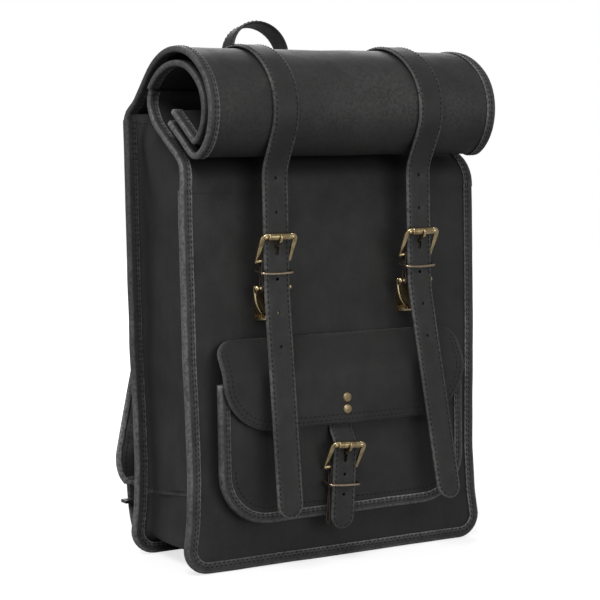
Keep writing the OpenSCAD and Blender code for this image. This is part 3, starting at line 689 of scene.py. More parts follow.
f = Form()
zs = np.concatenate([low_rows[:-1], np.linspace(21.6, PANEL_TOP - 6, 44)])
panel_sheet(f, FRONT, -1, zs, lambda z: body_half(z) - 0.4, 0.9, 1.3)
f.piece("front_panel_leather", [BODY], "bag", "body_leather", ["front_panel"])

f = Form()
zs = np.concatenate([low_rows[:-1], np.linspace(21.6, BACK_TOP - 4, 50)])
panel_sheet(f, BACK, 1, zs, lambda z: body_half(z) - 0.4, 0.6, 5.1)
f.piece("back_panel_leather", [BODY], "bag", "body_leather", ["back_panel"])

for name, rim, side in (("front", RIM, -1), ("back", BACK_RIM, 1)):
    low, high = cad(name + "_binding")
    f = Form()
    face, inner = (low[1], high[1]) if side < 0 else (high[1], low[1])
    binding(f, rim, face, inner, seed=side * 2.0)
    f.piece(name + "_edge_binding", [BIND, THREAD], "bag", "binding_leather", [name + "_binding"])

# ---------------------------------------------------------------- gussets and base
WEB_Y = np.array([-FLANGE_Y + q for q in (0, 0.5, 1.6, 3.2, 5.2, 7.6, 10.5, 14, 19, 26, 34, 43)])
WEB_Y = np.concatenate([WEB_Y, [0], -WEB_Y[::-1]])


def web_offset(y):
    """How far the gusset's face is from the outline: a soft channel between two flanges."""
    q = np.clip((np.abs(y) - (FLANGE_Y - 10.5)) / 10.5, 0, 1)
    return -WEB + (WEB - 0.8) * (1 - np.sqrt(1 - q ** 2.2)) + 1.6 * np.cos(np.clip(np.abs(y) / 40, 0,
                                                                                   1) * math.pi / 2)


def gusset_top(y):
    return np.minimum(351 + 0.57 * (y + 54), 403) - 9 * np.clip((-y - 42) / 12, 0, 1)


def gusset_seam(y):
    return SEAM_Z - 0.10 * y


def creases(y, z, side):
    """Folds that run in from the corners at the top and the base of a gusset."""
    near = np.clip(1 - np.abs(np.abs(y) / FLANGE_Y - 0.35) * 1.3, 0, 1)
    high = np.clip((z - 285) / 95, 0, 1) ** 1.3
    low = np.clip((150 - z) / 110, 0, 1) ** 1.5
    top_fold = np.sin((z * 0.9 + side * y * 1.6 + 14 * np.sin(y / 17)) / 11.0)
    low_fold = np.sin((z * 0.55 - y * 1.1) / 12.5 + 0.8)
    return near * (high * (1.2 + 2.8 * top_fold) + low * (0.8 + 1.9 * low_fold))


for label, side in SIDES:
    f = Form()
    n = 84
    P = np.zeros((n, len(WEB_Y), 3))
    for j, y in enumerate(WEB_Y):
        z = np.linspace(gusset_top(y), gusset_seam(y), n)
        fold = creases(y, z, side)
        p3 = np.stack([np.full(n, side * 140.0), np.full(n, y), z], 1)
        soft = np.clip((FLANGE_Y - abs(y)) / 12, 0, 1)
        push = (fold + ruffle(p3, 60, 2.2 + side) * 1.5 + ruffle(p3, 23, 7.7) * 0.4) * soft
        tuck = -9.0 * np.clip((z - gusset_top(y) + 34) / 34, 0, 1) ** 2 * soft
        P[:, j, 0] = side * (side_half(z) + web_offset(y) + push + tuck)
        P[:, j, 1] = y
        P[:, j, 2] = z
    face, N = slab(f, P, 1.9, (side, 0, 0))
    ys = np.linspace(-45, 45, 40)
    seam = gusset_seam(ys)
    line = np.stack([side * (side_half(seam) + web_offset(ys) + 0.15), ys, seam + 3.2], 1)
    stitches(f, line, np.tile([side, 0, 0], (len(line), 1)), 1)
    edge = face[2]
    stitches(f, edge[3:-3] + N[2, 3:-3] * 0.1, N[2, 3:-3], 1)
    f.piece(label + "_gusset_leather", [BODY, THREAD], "bag", "body_leather", [label + "_gusset"])

f = Form()
base_rim = rim_path(BASE_HALF, PANEL_LOW, 20.0, SEAM_Z, side_half)
pts, nor = base_rim
P = np.zeros((len(pts), len(WEB_Y), 3))
for j, y in enumerate(WEB_Y):
    d = web_offset(y) - 1.5
    stretch = np.clip((pts[:, 1] - 30) / (SEAM_Z - 30), 0, 1)
    z = pts[:, 1] + stretch * (gusset_seam(y) + 6 - SEAM_Z)
    P[:, j] = np.stack([pts[:, 0] + nor[:, 0] * d, np.full(len(pts), y), z + nor[:, 1] * d], 1)
p3 = P.reshape(-1, 3)
soft = np.clip((FLANGE_Y - np.abs(WEB_Y)) / 12, 0, 1)
dent = (ruffle(p3, 44, 9.1) * 1.2 + ruffle(p3, 17, 4.4) * 0.35).reshape(P.shape[:2]) * soft[None]
P[..., 0] += nor[:, None, 0] * dent
P[..., 2] += nor[:, None, 1] * dent
out = np.zeros_like(P)
out[..., 0], out[..., 2] = nor[:, None, 0], nor[:, None, 1]
slab(f, P, 1.9, out)
f.piece("base_leather", [BODY], "bag", "body_leather", ["bottom_panel"])


# ---------------------------------------------------------------- lining and board
f = Form()
low, high = cad("lining")
lin_rim = rim_path(BASE_HALF - 15.2, low[2], 9.0, high[2] - 1, lambda z: side_half(z) - 15.2)
ys = np.linspace(low[1] + 0.5, high[1] - 0.5, 9)
P = np.zeros((len(lin_rim[0]), len(ys), 3))
P[..., 0], P[..., 2], P[..., 1] = lin_rim[0][:, None, 0], lin_rim[0][:, None, 1], ys[None]
out = np.zeros_like(P)
out[..., 0], out[..., 2] = lin_rim[1][:, None, 0], lin_rim[1][:, None, 1]
slab(f, P, 0.8, out)
zs = np.linspace(low[2] + 0.5, high[2] - 1, 30)
for y, side in ((low[1] + 0.1, -1), (high[1] - 0.1, 1)):
    panel_sheet(f, y, side, zs, lambda z: panel_half(z, BASE_HALF - 15.4, low[2], 9.0,
                                                     lambda q: side_half(q) - 15.4),
                -0.8, 3.3 * side, 0.8, 20)
f.piece("cotton_lining", [FABRIC], "bag", "lining_fabric", ["lining"])

f = Form()
low, high = cad("laptop_sleeve")
xs = across(high[0], (0, 1, 3, 6, 9), 12)
zs = np.linspace(low[2], high[2], 30)
P = np.zeros((len(zs), len(xs), 3))
curl_in = np.clip((np.abs(xs) - (high[0] - 9)) / 9, 0, 1) ** 2
P[..., 0] = xs[None]
sag = 0.7 * np.sin(np.linspace(0, math.pi, len(zs)))
P[..., 1] = (low[1] + 1.2 + (high[1] - low[1] - 1.6) * curl_in)[None] - sag[:, None]
P[..., 2] = zs[:, None]
face, N = slab(f, P, 1.0, (0, -1, 0), wear=0.2)
stitches(f, face[-2], N[-2], 1)
f.piece("sleeve_cotton", [FABRIC, THREAD], "bag", "lining_fabric", ["laptop_sleeve"])

f = Form()
low, high = cad("base_board")
P = np.array([[(x, y, high[2]) for x in across(high[0] - 0.8, (0, 1, 3), 20)]
              for y in np.linspace(low[1] + 0.8, high[1] - 0.8, 12)])
slab(f, P, high[2] - low[2], (0, 0, 1))
f.piece("stiff_board", [BOARD], "bag", "board", ["base_board"])


# ---------------------------------------------------------------- the roll
def roll_push(x_seed, start, end):
    """Gentle waves of the roll's leather, calm where it starts and where it ends in another sheet."""
    def push(s, x):
        p = np.stack(np.broadcast_arrays(x, s * 0.6, 0 * s), -1).reshape(-1, 3)
        wave = (ruffle(p, 70, x_seed) * 1.1 + ruffle(p, 26, x_seed + 2) * 0.22).reshape(np.broadcast(s,
                                                                                                     x).shape)
        return wave * np.clip((s - start) / 24, 0, 1) * np.clip((end - s) / 24, 0, 1)
    return push


def bound_edges(form, path, ss, d0, d1, half, push, joined, wider):
    """Bindings over both side edges of a sheet that follows a path, pale on their corners from wear and a
    painted highlight.
    """
    width, over, r = 8.0, 1.2, 2.0
    arc = np.radians(np.linspace(0, 90, 5))
    q = [(-width + a, d0 - over) for a in (0, 0.6, width * 0.5, width - 1.2)]
    q += [(over - r + r * math.sin(a), d0 - over + r - r * math.cos(a)) for a in arc]
    q += [(over - r + r * math.cos(a), d1 + over - r + r * math.sin(a)) for a in arc]
    q += [(-width + a, d1 + over) for a in (width - 1.2, width * 0.5, 0.6, 0)]
    pos, nor = path.points(ss)
    mid = (d0 + d1) / 2
    for side in (-1, 1):
        x = np.array([side * (half + a) for a, _ in q])
        P = np.zeros((len(ss), len(q), 3))
        spread = np.zeros(len(ss)) if wider is None else wider(ss)
        foot = spread / max(spread.max(), 1.0)
        P[..., 0] = x[None] + side * (0.3 * np.sin(ss / 23.0 + side) + spread)[:, None]
        P[..., 0] -= side * (BIND_W - width) * foot[:, None] * (np.array([a for a, _ in q]) < 0)[None]
        extra = push(ss[:, None], np.array([[side * half]]))
        d = np.array([b for _, b in q])[None] + extra
        P[..., 1] = pos[:, None, 0] + nor[:, None, 0] * d
        P[..., 2] = pos[:, None, 1] + nor[:, None, 1] * d
        out = np.zeros_like(P)
        lean = np.sign(np.array([b for _, b in q]) - mid)[None]
        out[..., 0] = side * 0.5
        out[..., 1], out[..., 2] = nor[:, None, 0] * lean, nor[:, None, 1] * lean
        # the corner is painted pale: partly wear, partly a painted highlight
        rubbed = CORNER_WEAR_AND_SHEEN * np.clip((np.array([a for a, _ in q]) + 1.6) / 1.6, 0, 1)
        slab(form, P, 1.1, out, wear=0.9, soft=0.12, joined=joined, tint=rubbed[None], mat=1)
        for d, s in ((d0 - over, -1), (d1 + over, 1)):
            row, n2 = path.points(ss, d)
            row = row + n2 * extra
            for inset in (width - 1.7, width - 4.2):
                at = half - inset + spread - (BIND_W - width) * foot
                stitches(form, yz(side * at, row), yz(0.0, n2 * s), 2)


def painted_roll_sheen(s, path):
    """Painted highlight: the leather is made paler round the front of the roll, where the sheen falls."""
    if path is not ROLL:
        return 0 * s
    return 0.60 * np.exp(-((s - AT_CURL - 26) / 38) ** 2)


def tongue(name, path, a, b, d, bodies, cads, seed, joined, calm, blend_at=None, pitch=5.0, wider=None):
    """A stretch of a bound tongue from a to b along a path. Its outer face is at d."""
    f = Form()
    ss = path.spaced(a, b, pitch)
    xs = across(TONGUE_HALF - 1.0, (0, 2, 5, 9), 11)
    push = roll_push(seed, *calm)
    P, nor = sheet_on(path, ss, xs, d, push)
    if wider is not None:
        P[..., 0] *= (1 + wider(ss) / TONGUE_HALF)[:, None]
    # painted highlight: the wear colour is raised round the front of the roll
    slab(f, P, TONGUE_T, yz(0.0, -nor)[:, None] * np.ones((1, len(xs), 1)), wear=0.6, joined=joined,
         tint=painted_roll_sheen(ss, path)[:, None] * np.ones((1, len(xs))))
    bound_edges(f, path, ss, d, d + TONGUE_T, TONGUE_HALF, push, joined, wider)
    obj = f.piece(name, [BODY, BIND, THREAD], None if blend_at else bodies, "body_leather", cads)
    if blend_at:
        p0, p1 = (path.at(q)[0] * MM for q in blend_at)
        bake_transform(obj)
    return obj


def foot_width(top, over):
    """A tongue starts as wide as its panel's bound edge and narrows to its own width."""
    extra = float(body_half(np.array([top - 8.0]))[0]) - TONGUE_HALF + 0.4

    def wider(s):
        q = np.clip(s / over, 0, 1)
        return extra * (1 - q * q * (3 - 2 * q))
    return wider


END = ROLL.length
MID_RISE, MID_CROWN, IN_CURL = AT_RISE + 30, AT_TOP + 60, AT_CURL + 22
INNER_FROM = AT_TOP - 5.2
for layer, d, seed in (("outer", 0.0, 2.0), ("inner", LAYER_GAP, 6.0)):
    node = "back_tongue" if layer == "outer" else "front_tongue"
    calm = (0 if layer == "outer" else INNER_FROM, np.inf)
    if layer == "outer":
        tongue("outer_tongue_back", ROLL, 0, MID_RISE, d, ("bag", "roll_rise"), [node + "_rise"], seed,
               (False, True), calm, blend_at=(4.0, MID_RISE - 3), wider=foot_width(BACK_TOP, 30.0))
        start = MID_RISE
    else:
        start = INNER_FROM
    tongue(layer + "_tongue_top", ROLL, start, MID_CROWN, d, ("roll_rise", "roll_top"), [node + "_top"], seed,
           (True, True), calm, blend_at=(max(start + 1.0, AT_TOP - 16), AT_TOP + 30))
    tongue(layer + "_tongue_front", ROLL, MID_CROWN, IN_CURL, d, ("roll_top", "roll_curl"), [], seed,
           (True, True), calm, blend_at=(AT_CURL - 38, IN_CURL - 2))
    tongue(layer + "_tongue_curl", ROLL, IN_CURL, END, d, "roll_curl", [node + "_curl"], seed, (True, False),
           calm, pitch=4.0)

tongue("front_gore", FOLD, 0, FOLD.length + 0.8, -1.2, ("bag", "roll_rise"),
       ["front_fold", "front_tongue_rise"], 4.0,
       (True, True), (0, FOLD.length), blend_at=(14.0, FOLD.length - 6), wider=foot_width(PANEL_TOP, 44.0))


# ---------------------------------------------------------------- closure straps
HOLE_R = 1.5
EDGE_IN = 2.9                                 # from a strap's edge to its stitches


def bend(obj, p0, p1):
    """Bakes a finished piece's transform into its mesh; the YZ points p0 and p1 are not used."""
    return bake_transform(obj)


def strap_sheet(f, path, a, b, d, x0, width, t=STRAP_T, holes=(), slots=(), tip=False, sew=True, pitch=4.5,
                wave=0.25, turn=None, joined=(False, False)):
    """A strap along a path: a rounded ribbon with worn edges, two rows of stitches, punched holes and slots.
    Its middle lies at distance d; the face is on the right of the heading."""
    r = HOLE_R
    steps = np.array([-1, -0.5, 0, 0.5, 1])
    extra = [h + q for h in holes for q in steps * r] + [h + q for h in slots for q in steps * SLOT_HALF]
    ss = path.spaced(a, b, pitch, extra)
    centre = steps * r if holes else ()
    half = width / 2 - 0.42 * t
    xs = across(half, centre=centre)
    if tip:
        run = ss[-1] - width / 2
        body = ss[ss < run - 1]
        ss = np.concatenate([body, run + (width / 2 - 0.42 * t) * np.sin(np.linspace(0, math.pi / 2, 9))])
    pos, nor = path.points(ss, d - t / 2)
    ripple = ruffle(np.stack([ss * 0, ss, ss * 0 + x0], 1), 42.0, x0 * 0.1) * wave
    pos = pos + nor * ripple[:, None]
    scale = np.ones(len(ss))
    if tip:
        q = np.clip((ss - run) / half, 0, 1)
        scale = np.maximum(np.sqrt(1 - q ** 2), 0.06)
    P = np.zeros((len(ss), len(xs), 3))
    P[..., 0] = x0 + xs[None] * scale[:, None]
    P[..., 1], P[..., 2] = pos[:, None, 0], pos[:, None, 1]
    opened = []
    j0 = int(np.argmin(np.abs(xs + r)))
    for h in holes:
        opened.append((int(np.argmin(np.abs(ss - (h - r)))), j0, 4, r, r))
    for h in slots:
        opened.append((int(np.argmin(np.abs(ss - (h - SLOT_HALF)))), j0, 4, SLOT_W / 2, SLOT_HALF))
    if turn is not None:
        P = turn(P)
    out = yz(0.0, -nor)[:, None] * np.ones((1, len(xs), 1))
    slab(f, P, t, out, soft=0.16, holes=opened, joined=joined)
    if sew:
        inset = half + 0.42 * t - EDGE_IN
        for side in (-1, 1):
            col = x0 + side * inset
            line, normal = np.stack([np.full(len(ss), col), pos[:, 0], pos[:, 1]], 1), nor
            if tip:
                around = np.radians(np.linspace(0, 90, 8))
                keep = ss <= run
                end_s = run + inset * np.sin(around)
                e_pos, e_nor = path.points(end_s, d - t / 2)
                e_pos = e_pos + e_nor * ripple[-1]
                curve = np.stack([x0 + side * inset * np.cos(around), e_pos[:, 0], e_pos[:, 1]], 1)
                line, normal = np.concatenate([line[keep], curve]), np.concatenate([nor[keep], e_nor])
            if turn is not None:
                line = turn(line[None])[0]
            stitches(f, line, yz(0.0, -normal), 1)


LEG_STEPS = [(26.0, 0), (14.0, -30)]
LEG_START = LEG_P + STRAP_D * np.array([-math.sin(math.radians(LEG_H)), math.cos(math.radians(LEG_H))])
LEG_BEND = Path(LEG_START + 0.5 * np.array([math.cos(math.radians(LEG_H)), math.sin(math.radians(LEG_H))]),
                LEG_H, LEG_STEPS)
LEG_Y = end_of(LEG_BEND)[0][0]
LEG_Z = end_of(LEG_BEND)[0][1]
STRAP_LOW = cad("left_strap_leg")[0][2]
HEEL_Z = 272.0
# the prong's slot in a strap: its middle above the heel bar, its half length and its width
SLOT_UP, SLOT_HALF, SLOT_W = 11.0, 6.3, 4.2
ANCHOR_Z = 366.0                              # where the sewn ends of the closure straps start
HOLE_ZS = [343.5, 314.0, 256.0]
TAIL_ZS = [227.0, 197.5]
TAIL_LEAN, TAIL_L, SIDE_LEAN = 5.0, 196.0, 5.5
CUT_Z = 262.0
LEAN_EASE = 34.0                              # length over which the loose end bends sideways

# crest and leg as one path: from the middle of the crest down to the keeper
CREST_MID = AT_CURL + 24.0
cp, ch = ROLL.at(CREST_MID)
LEG = Path(cp + STRAP_D * np.array([-math.sin(math.radians(ch)), math.cos(math.radians(ch))]), ch,
           [((AT_LEG - CREST_MID) * (BEND_R - STRAP_D) / BEND_R, CREST[1] * (AT_LEG - CREST_MID) / CREST[0])]
           + [(26.5, 0), (14.0, -30), (LEG_Z - CUT_Z, 0)])
LEG_AT = LEG.steps[0][0]
TAIL = Path((LEG_Y, CUT_Z), 270, [(CUT_Z - (STRAP_LOW - 1.8) - 4, 0), (8.0, -TAIL_LEAN), (TAIL_L - 4, 0)])


def leg_s(z):
    return LEG_AT + 40.5 + (LEG_Z - z)


def tail_s(z):
    return (CUT_Z - z) if z > STRAP_LOW else (CUT_Z - STRAP_LOW) + (STRAP_LOW
                                                                    - z) / math.cos(math.radians(TAIL_LEAN))


def leaning(side):
    """The right strap's loose end leans sideways, from its hinge down."""
    if side < 0:
        return None

    def turn(P):
        P = P.copy()
        down = np.clip(STRAP_LOW + LEAN_EASE / 2 - P[..., 2], 0, None)
        ease = np.clip(down / LEAN_EASE, 0, 1)
        angle = math.radians(SIDE_LEAN)
        dx = P[..., 0] - side * STRAP_X
        P[..., 0] = side * STRAP_X + dx + (down - LEAN_EASE * (ease - ease ** 2 / 2)) * math.tan(angle)
        P[..., 2] = P[..., 2] - dx * math.sin(angle) * ease
        return P
    return turn


for label, side in SIDES:
    x = side * STRAP_X
    f = Form()
    sewn_end = Path((BACK + 2 + STRAP_T / 2, ANCHOR_Z), 90, [(22.0, 0), (ROLL.start[1] - ANCHOR_Z - 22.0, 0)])
    strap_sheet(f, sewn_end, 0, sewn_end.length, 0, x, STRAP_W, joined=(False, True))
    for z in (370.0, 378.0):
        stitches(f, [(x - 9, BACK + 2 + STRAP_T, z), (x + 9, BACK + 2 + STRAP_T, z)], [(0, 1, 0)] * 2, 1)
    f.piece(label + "_strap_anchor", [STRAP, THREAD], "bag", "strap_leather", ["closure_anchors"])

    f = Form()
    strap_sheet(f, ROLL, 0, MID_RISE, STRAP_D, x, STRAP_W, joined=(True, True))
    obj = f.piece(label + "_strap_back", [STRAP, THREAD], None, "strap_leather")
    bend(obj, ROLL.at(4.0)[0], ROLL.at(MID_RISE - 3)[0])
    f = Form()
    strap_sheet(f, ROLL, MID_RISE, MID_CROWN, STRAP_D, x, STRAP_W, joined=(True, True))
    obj = f.piece(label + "_strap_top", [STRAP, THREAD], None, "strap_leather", ["closure_straps_rise"])
    bend(obj, ROLL.at(AT_TOP - 16)[0], ROLL.at(AT_TOP + 30)[0])
    f = Form()
    strap_sheet(f, ROLL, MID_CROWN, IN_CURL, STRAP_D, x, STRAP_W, joined=(True, True))
    obj = f.piece(label + "_strap_front", [STRAP, THREAD], None, "strap_leather", ["closure_straps_top"])
    bend(obj, ROLL.at(AT_CURL - 38)[0], ROLL.at(IN_CURL - 2)[0])
    f = Form()
    strap_sheet(f, ROLL, IN_CURL, CREST_MID, STRAP_D, x, STRAP_W, pitch=1.0, sew=False, joined=(True, True))
    f.piece(label + "_strap_crest", [STRAP, THREAD], "roll_curl", "strap_leather", ["closure_straps_crest"])
    f = Form()
    strap_sheet(f, LEG, 0, LEG.length, 0, x, STRAP_W, holes=[leg_s(z) for z in HOLE_ZS[:2]],
                slots=[leg_s(HEEL_Z + SLOT_UP)], wave=0.0, joined=(True, True))
    obj = f.piece(label + "_strap_hanging", [STRAP, THREAD], None, "strap_leather", [label + "_strap_leg"])
    bend(obj, LEG.at(LEG_AT - 9)[0], LEG.at(LEG_AT + 14)[0])
    f = Form()
    strap_sheet(f, TAIL, 0, TAIL.length, 0, x, STRAP_W, holes=[tail_s(z) for z in [HOLE_ZS[2]] + TAIL_ZS],
                tip=True,
                wave=0.0, turn=leaning(side), joined=(True, False))
    obj = f.piece(label + "_strap_end", [STRAP, THREAD], None, "strap_leather", [label + "_tail"])
    bend(obj, (LEG_Y, 252), (LEG_Y - 1, 236))


# ---------------------------------------------------------------- buckles
HEEL_BACK, ROLLER_FRONT, ROLLER_RISE = 6.4, 5.9, 21.0
TILT = math.atan((HEEL_BACK + ROLLER_FRONT) / ROLLER_RISE)
FRAME_L = math.hypot(HEEL_BACK + ROLLER_FRONT, ROLLER_RISE)
BAR_R, ROLLER_R = 1.8, 3.4
# on the pocket everything leans 4 degrees about this point
POCKET_PIVOT, POCKET_LEAN = np.array([-6.0, 146.0]), math.radians(4)


class Mount:
    """Places a buckle's parts: in the strap's own plane at x0, and leaned over on the pocket."""

    def __init__(self, x0, leg_y, heel_z, lean=0.0):
        self.x0, self.leg_y, self.heel_z, self.lean = x0, leg_y, heel_z, lean

    def __call__(self, P):
        P = np.asarray(P, float).copy()
        if self.lean:
            dx, dz = P[..., 0].copy(), P[..., 2] - POCKET_PIVOT[1]
            c, s = math.cos(self.lean), math.sin(self.lean)
            P[..., 0] = POCKET_PIVOT[0] + dx * c + dz * s
            P[..., 2] = POCKET_PIVOT[1] - dx * s + dz * c
        else:
            P[..., 0] += self.x0
        return P

    def heel(self):
        return np.array([self.leg_y + HEEL_BACK, self.heel_z])

    def head(self):
        return np.array([self.leg_y - ROLLER_FRONT, self.heel_z + ROLLER_RISE])


def moved(form, mount):
    """Applies a mount to a form."""
    form.v = [mount(v) for v in form.v]
    return form


def buckle_frame(mount):
    f = Form()
    p = mount.heel()
    up = np.array([0, -math.sin(TILT), math.cos(TILT)])
    flat = np.array([0, math.cos(TILT), math.sin(TILT)])
    side_x = np.array([1.0, 0, 0])
    origin = np.array([0, p[0], p[1]])
    for s in (-1, 1):
        a = np.radians(np.linspace(0, 90, 7))
        line = [(16.2, q) for q in (-2.4, -1.9, -0.9, 1.5, 6.0, 12.0, 18.0, FRAME_L - 3.4)]
        line += [(16.2 - 4.6 * (1 - math.cos(t)), FRAME_L - 3.4 + 4.7 * math.sin(t)) for t in a[1:]]
        line += [(11.2, FRAME_L + 1.1), (10.9, FRAME_L + 1.0)]
        line = np.array(line)
        centres = origin + s * line[:, :1] * side_x + line[:, 1:] * up
        tang = unit(np.gradient(centres, axis=0))
        wide = unit(np.cross(tang, flat))
        scale = np.ones(len(line))
        scale[:3] = 0.55, 0.86, 0.97
        scale[-2:] = 0.9, 0.7
        taper = np.interp(line[:, 1], [-2.4, 4.0, 15.0, FRAME_L], [0.80, 0.88, 1.12, 1.22]) * scale
        sweep(f, centres, wide * taper[:, None], flat * scale[:, None], rounded(1.9, 1.3, 0.75, 4))
        # a rounded boss where the frame holds the roller's bar
        boss = origin + s * 13.0 * side_x + FRAME_L * up
        round_bar(f, 2.5, min(s * 11.2, s * 15.2), max(s * 11.2, s * 15.2), boss[1], boss[2], ends=0.6, n=24)
    round_bar(f, BAR_R, -17.3, 17.3, p[0], p[1])
    h = mount.head()
    round_bar(f, BAR_R, -14.5, 14.5, h[0], h[1])
    return moved(f, mount)


def buckle_roller(mount):
    f = Form()
    h = mount.head()
    t = np.linspace(0, 2 * math.pi, 36, endpoint=False)
    shape = [(-11, 1.92), (-11, 3.0), (-10.85, 3.28), (-10.5, 3.4), (-9.6, 3.42), (-9.2, 3.34),
             (-8.8, 3.42), (0, 3.42),
             (8.8, 3.42), (9.2, 3.34), (9.6, 3.42), (10.5, 3.4), (10.85, 3.28), (11, 3.0), (11, 1.92)]
    P = np.array([[(x, h[0] + r * math.cos(a), h[1] + r * math.sin(a)) for a in t] for x, r in shape])
    f.add(P, quads(len(P), len(t), loop_rows=True, loop_cols=True))
    return moved(f, mount)


def buckle_prong(mount):
    f = Form()
    p, h = mount.heel(), mount.head()
    ly, hz = mount.leg_y, mount.heel_z
    t = np.linspace(0, 2 * math.pi, 28, endpoint=False)
    eye = [(-1.3, 1.9), (-1.3, 3.0), (-1.0, 3.4), (1.0, 3.4), (1.3, 3.0), (1.3, 1.9)]
    P = np.array([[(x, p[0] + r * math.cos(a), p[1] + r * math.sin(a)) for a in t] for x, r in eye])
    f.add(P, quads(len(P), len(t), loop_rows=True, loop_cols=True))
    line = smooth_line([(p[0] - 1.6, p[1] + 2.4), (p[0] - 3.0, p[1] + 6.0), (ly + 1.2, hz + 10.6),
                        (h[0] + 1.6, h[1] - ROLLER_R - 3.0), (h[0] - 1.8, h[1] - ROLLER_R - 1.5),
                        (h[0] - 3.6, h[1] - 3.2), (h[0] - ROLLER_R - 1.3, h[1] - 1.0),
                        (h[0] - ROLLER_R - 1.2, h[1] + 0.9)], 4)
    line = np.concatenate([line, [line[-1] + [0.15, 0.5]]])
    centres = np.concatenate([np.zeros((len(line), 1)), line], 1)
    tang = unit(np.gradient(centres, axis=0))
    A = np.tile([1.0, 0, 0], (len(line), 1))
    scale = np.interp(np.linspace(0, 1, len(line)), [0, 0.6, 0.93, 1], [1.0, 1.0, 0.86, 0.45])
    sweep(f, centres, A, np.cross(A, tang), rounded(1.3, 1.05, 0.7, 4), scale=scale)
    return moved(f, mount)


def keeper(mount, z, back, sag=1.4):
    f = Form()
    half, r, wire = 15.2, 2.4, 1.25
    front = mount.leg_y - STRAP_T / 2 - wire - 0.5
    pts = []
    for sx, sy, q in ((1, back, 0), (-1, back, 1), (-1, front, 2), (1, front, 3)):
        inward = -1 if sy == back else 1
        for a in np.radians(np.linspace(q * 90, q * 90 + 90, 6)):
            pts.append((sx * (half - r) + r * math.cos(a), sy + inward * r + r * math.sin(a)))
    pts = np.array(pts)
    extra = []
    for a, b in zip(pts, np.roll(pts, -1, 0)):
        n = max(1, int(np.linalg.norm(b - a) / 3))
        extra += [a + (b - a) * k / n for k in range(n)]
    pts = np.array(extra)
    droop = np.where(pts[:, 1] < mount.leg_y, -sag * np.cos(np.clip(pts[:, 0] / half, -1, 1) * math.pi / 2),
                     0)
    tip = -2.0 * (pts[:, 1] - back) / (front - back)
    centres = np.stack([pts[:, 0], pts[:, 1], z + droop * 0.5 + tip], 1)
    tang = unit(np.roll(centres, -1, 0) - np.roll(centres, 1, 0))
    A = unit(np.cross(tang, [0, 0, 1.0]))
    B = np.cross(A, tang)
    ang = np.linspace(0, 2 * math.pi, 10, endpoint=False)
    sweep(f, centres, A, B, np.stack([np.cos(ang), np.sin(ang)], 1) * wire, closed=True)
    return moved(f, mount)


def chape(mount, width, low_y, low_z, t, gap_at=0.5):
    """Two layers of leather folded over the heel bar and the bar below it, pinched between."""
    f = Form()
    p = mount.heel()
    r = BAR_R + 0.25 + t / 2
    n = 9
    pts = [(p[0] + r * math.cos(a), p[1] + r * math.sin(a)) for a in np.linspace(0, math.pi, n)]
    mid = (p[1] + low_z) / 2
    pinch = t / 2 + gap_at
    for q in np.linspace(0, 1, 7)[1:-1]:
        z = p[1] + (low_z - p[1]) * q
        squeeze = math.sin(q * math.pi) ** 1.2
        pts.append((p[0] + (low_y - p[0]) * q - (r + (pinch - r) * squeeze), z))
    pts += [(low_y - r * math.cos(a), low_z - r * math.sin(a)) for a in np.linspace(0, math.pi, n)]
    for q in np.linspace(1, 0, 7)[1:-1]:
        z = p[1] + (low_z - p[1]) * q
        squeeze = math.sin(q * math.pi) ** 1.2
        pts.append((p[0] + (low_y - p[0]) * q + (r + (pinch - r) * squeeze), z))
    pts = np.array(pts)
    centres = np.stack([np.zeros(len(pts)), pts[:, 0], pts[:, 1]], 1)
    tang = unit(np.roll(centres, -1, 0) - np.roll(centres, 1, 0))
    A = np.tile([1.0, 0, 0], (len(pts), 1))
    B = np.cross(tang, A)
    section = np.array(rounded(width / 2, t / 2, 0.55, 4))
    P = (centres[:, None] + A[:, None] * section[None, :, :1] + B[:, None] * section[None, :, 1:])
    edge = np.abs(section[:, 0]) > width / 2 - 0.5
    faces, raw = [], []
    k = len(section)
    for face in quads(len(P), k, loop_rows=True, loop_cols=True):
        cols = {face[0] % k, face[1] % k}
        (raw if all(edge[c] for c in cols) else faces).append(face)
    f.add(P, faces, np.tile(np.where(edge, 0.7, 0.0), len(P)), 0)
    f.add(P, raw, 0, 1)
    row = [(s * (width / 2 - 3), p[0] - pinch - t / 2 - 0.05, z) for s in (-1, 1) for z in (mid + 5, mid - 5)]
    for s in (0, 2):
        stitches(f, [row[s], row[s + 1]], [(0, -1, 0)] * 2, 2)
    return moved(f, mount)


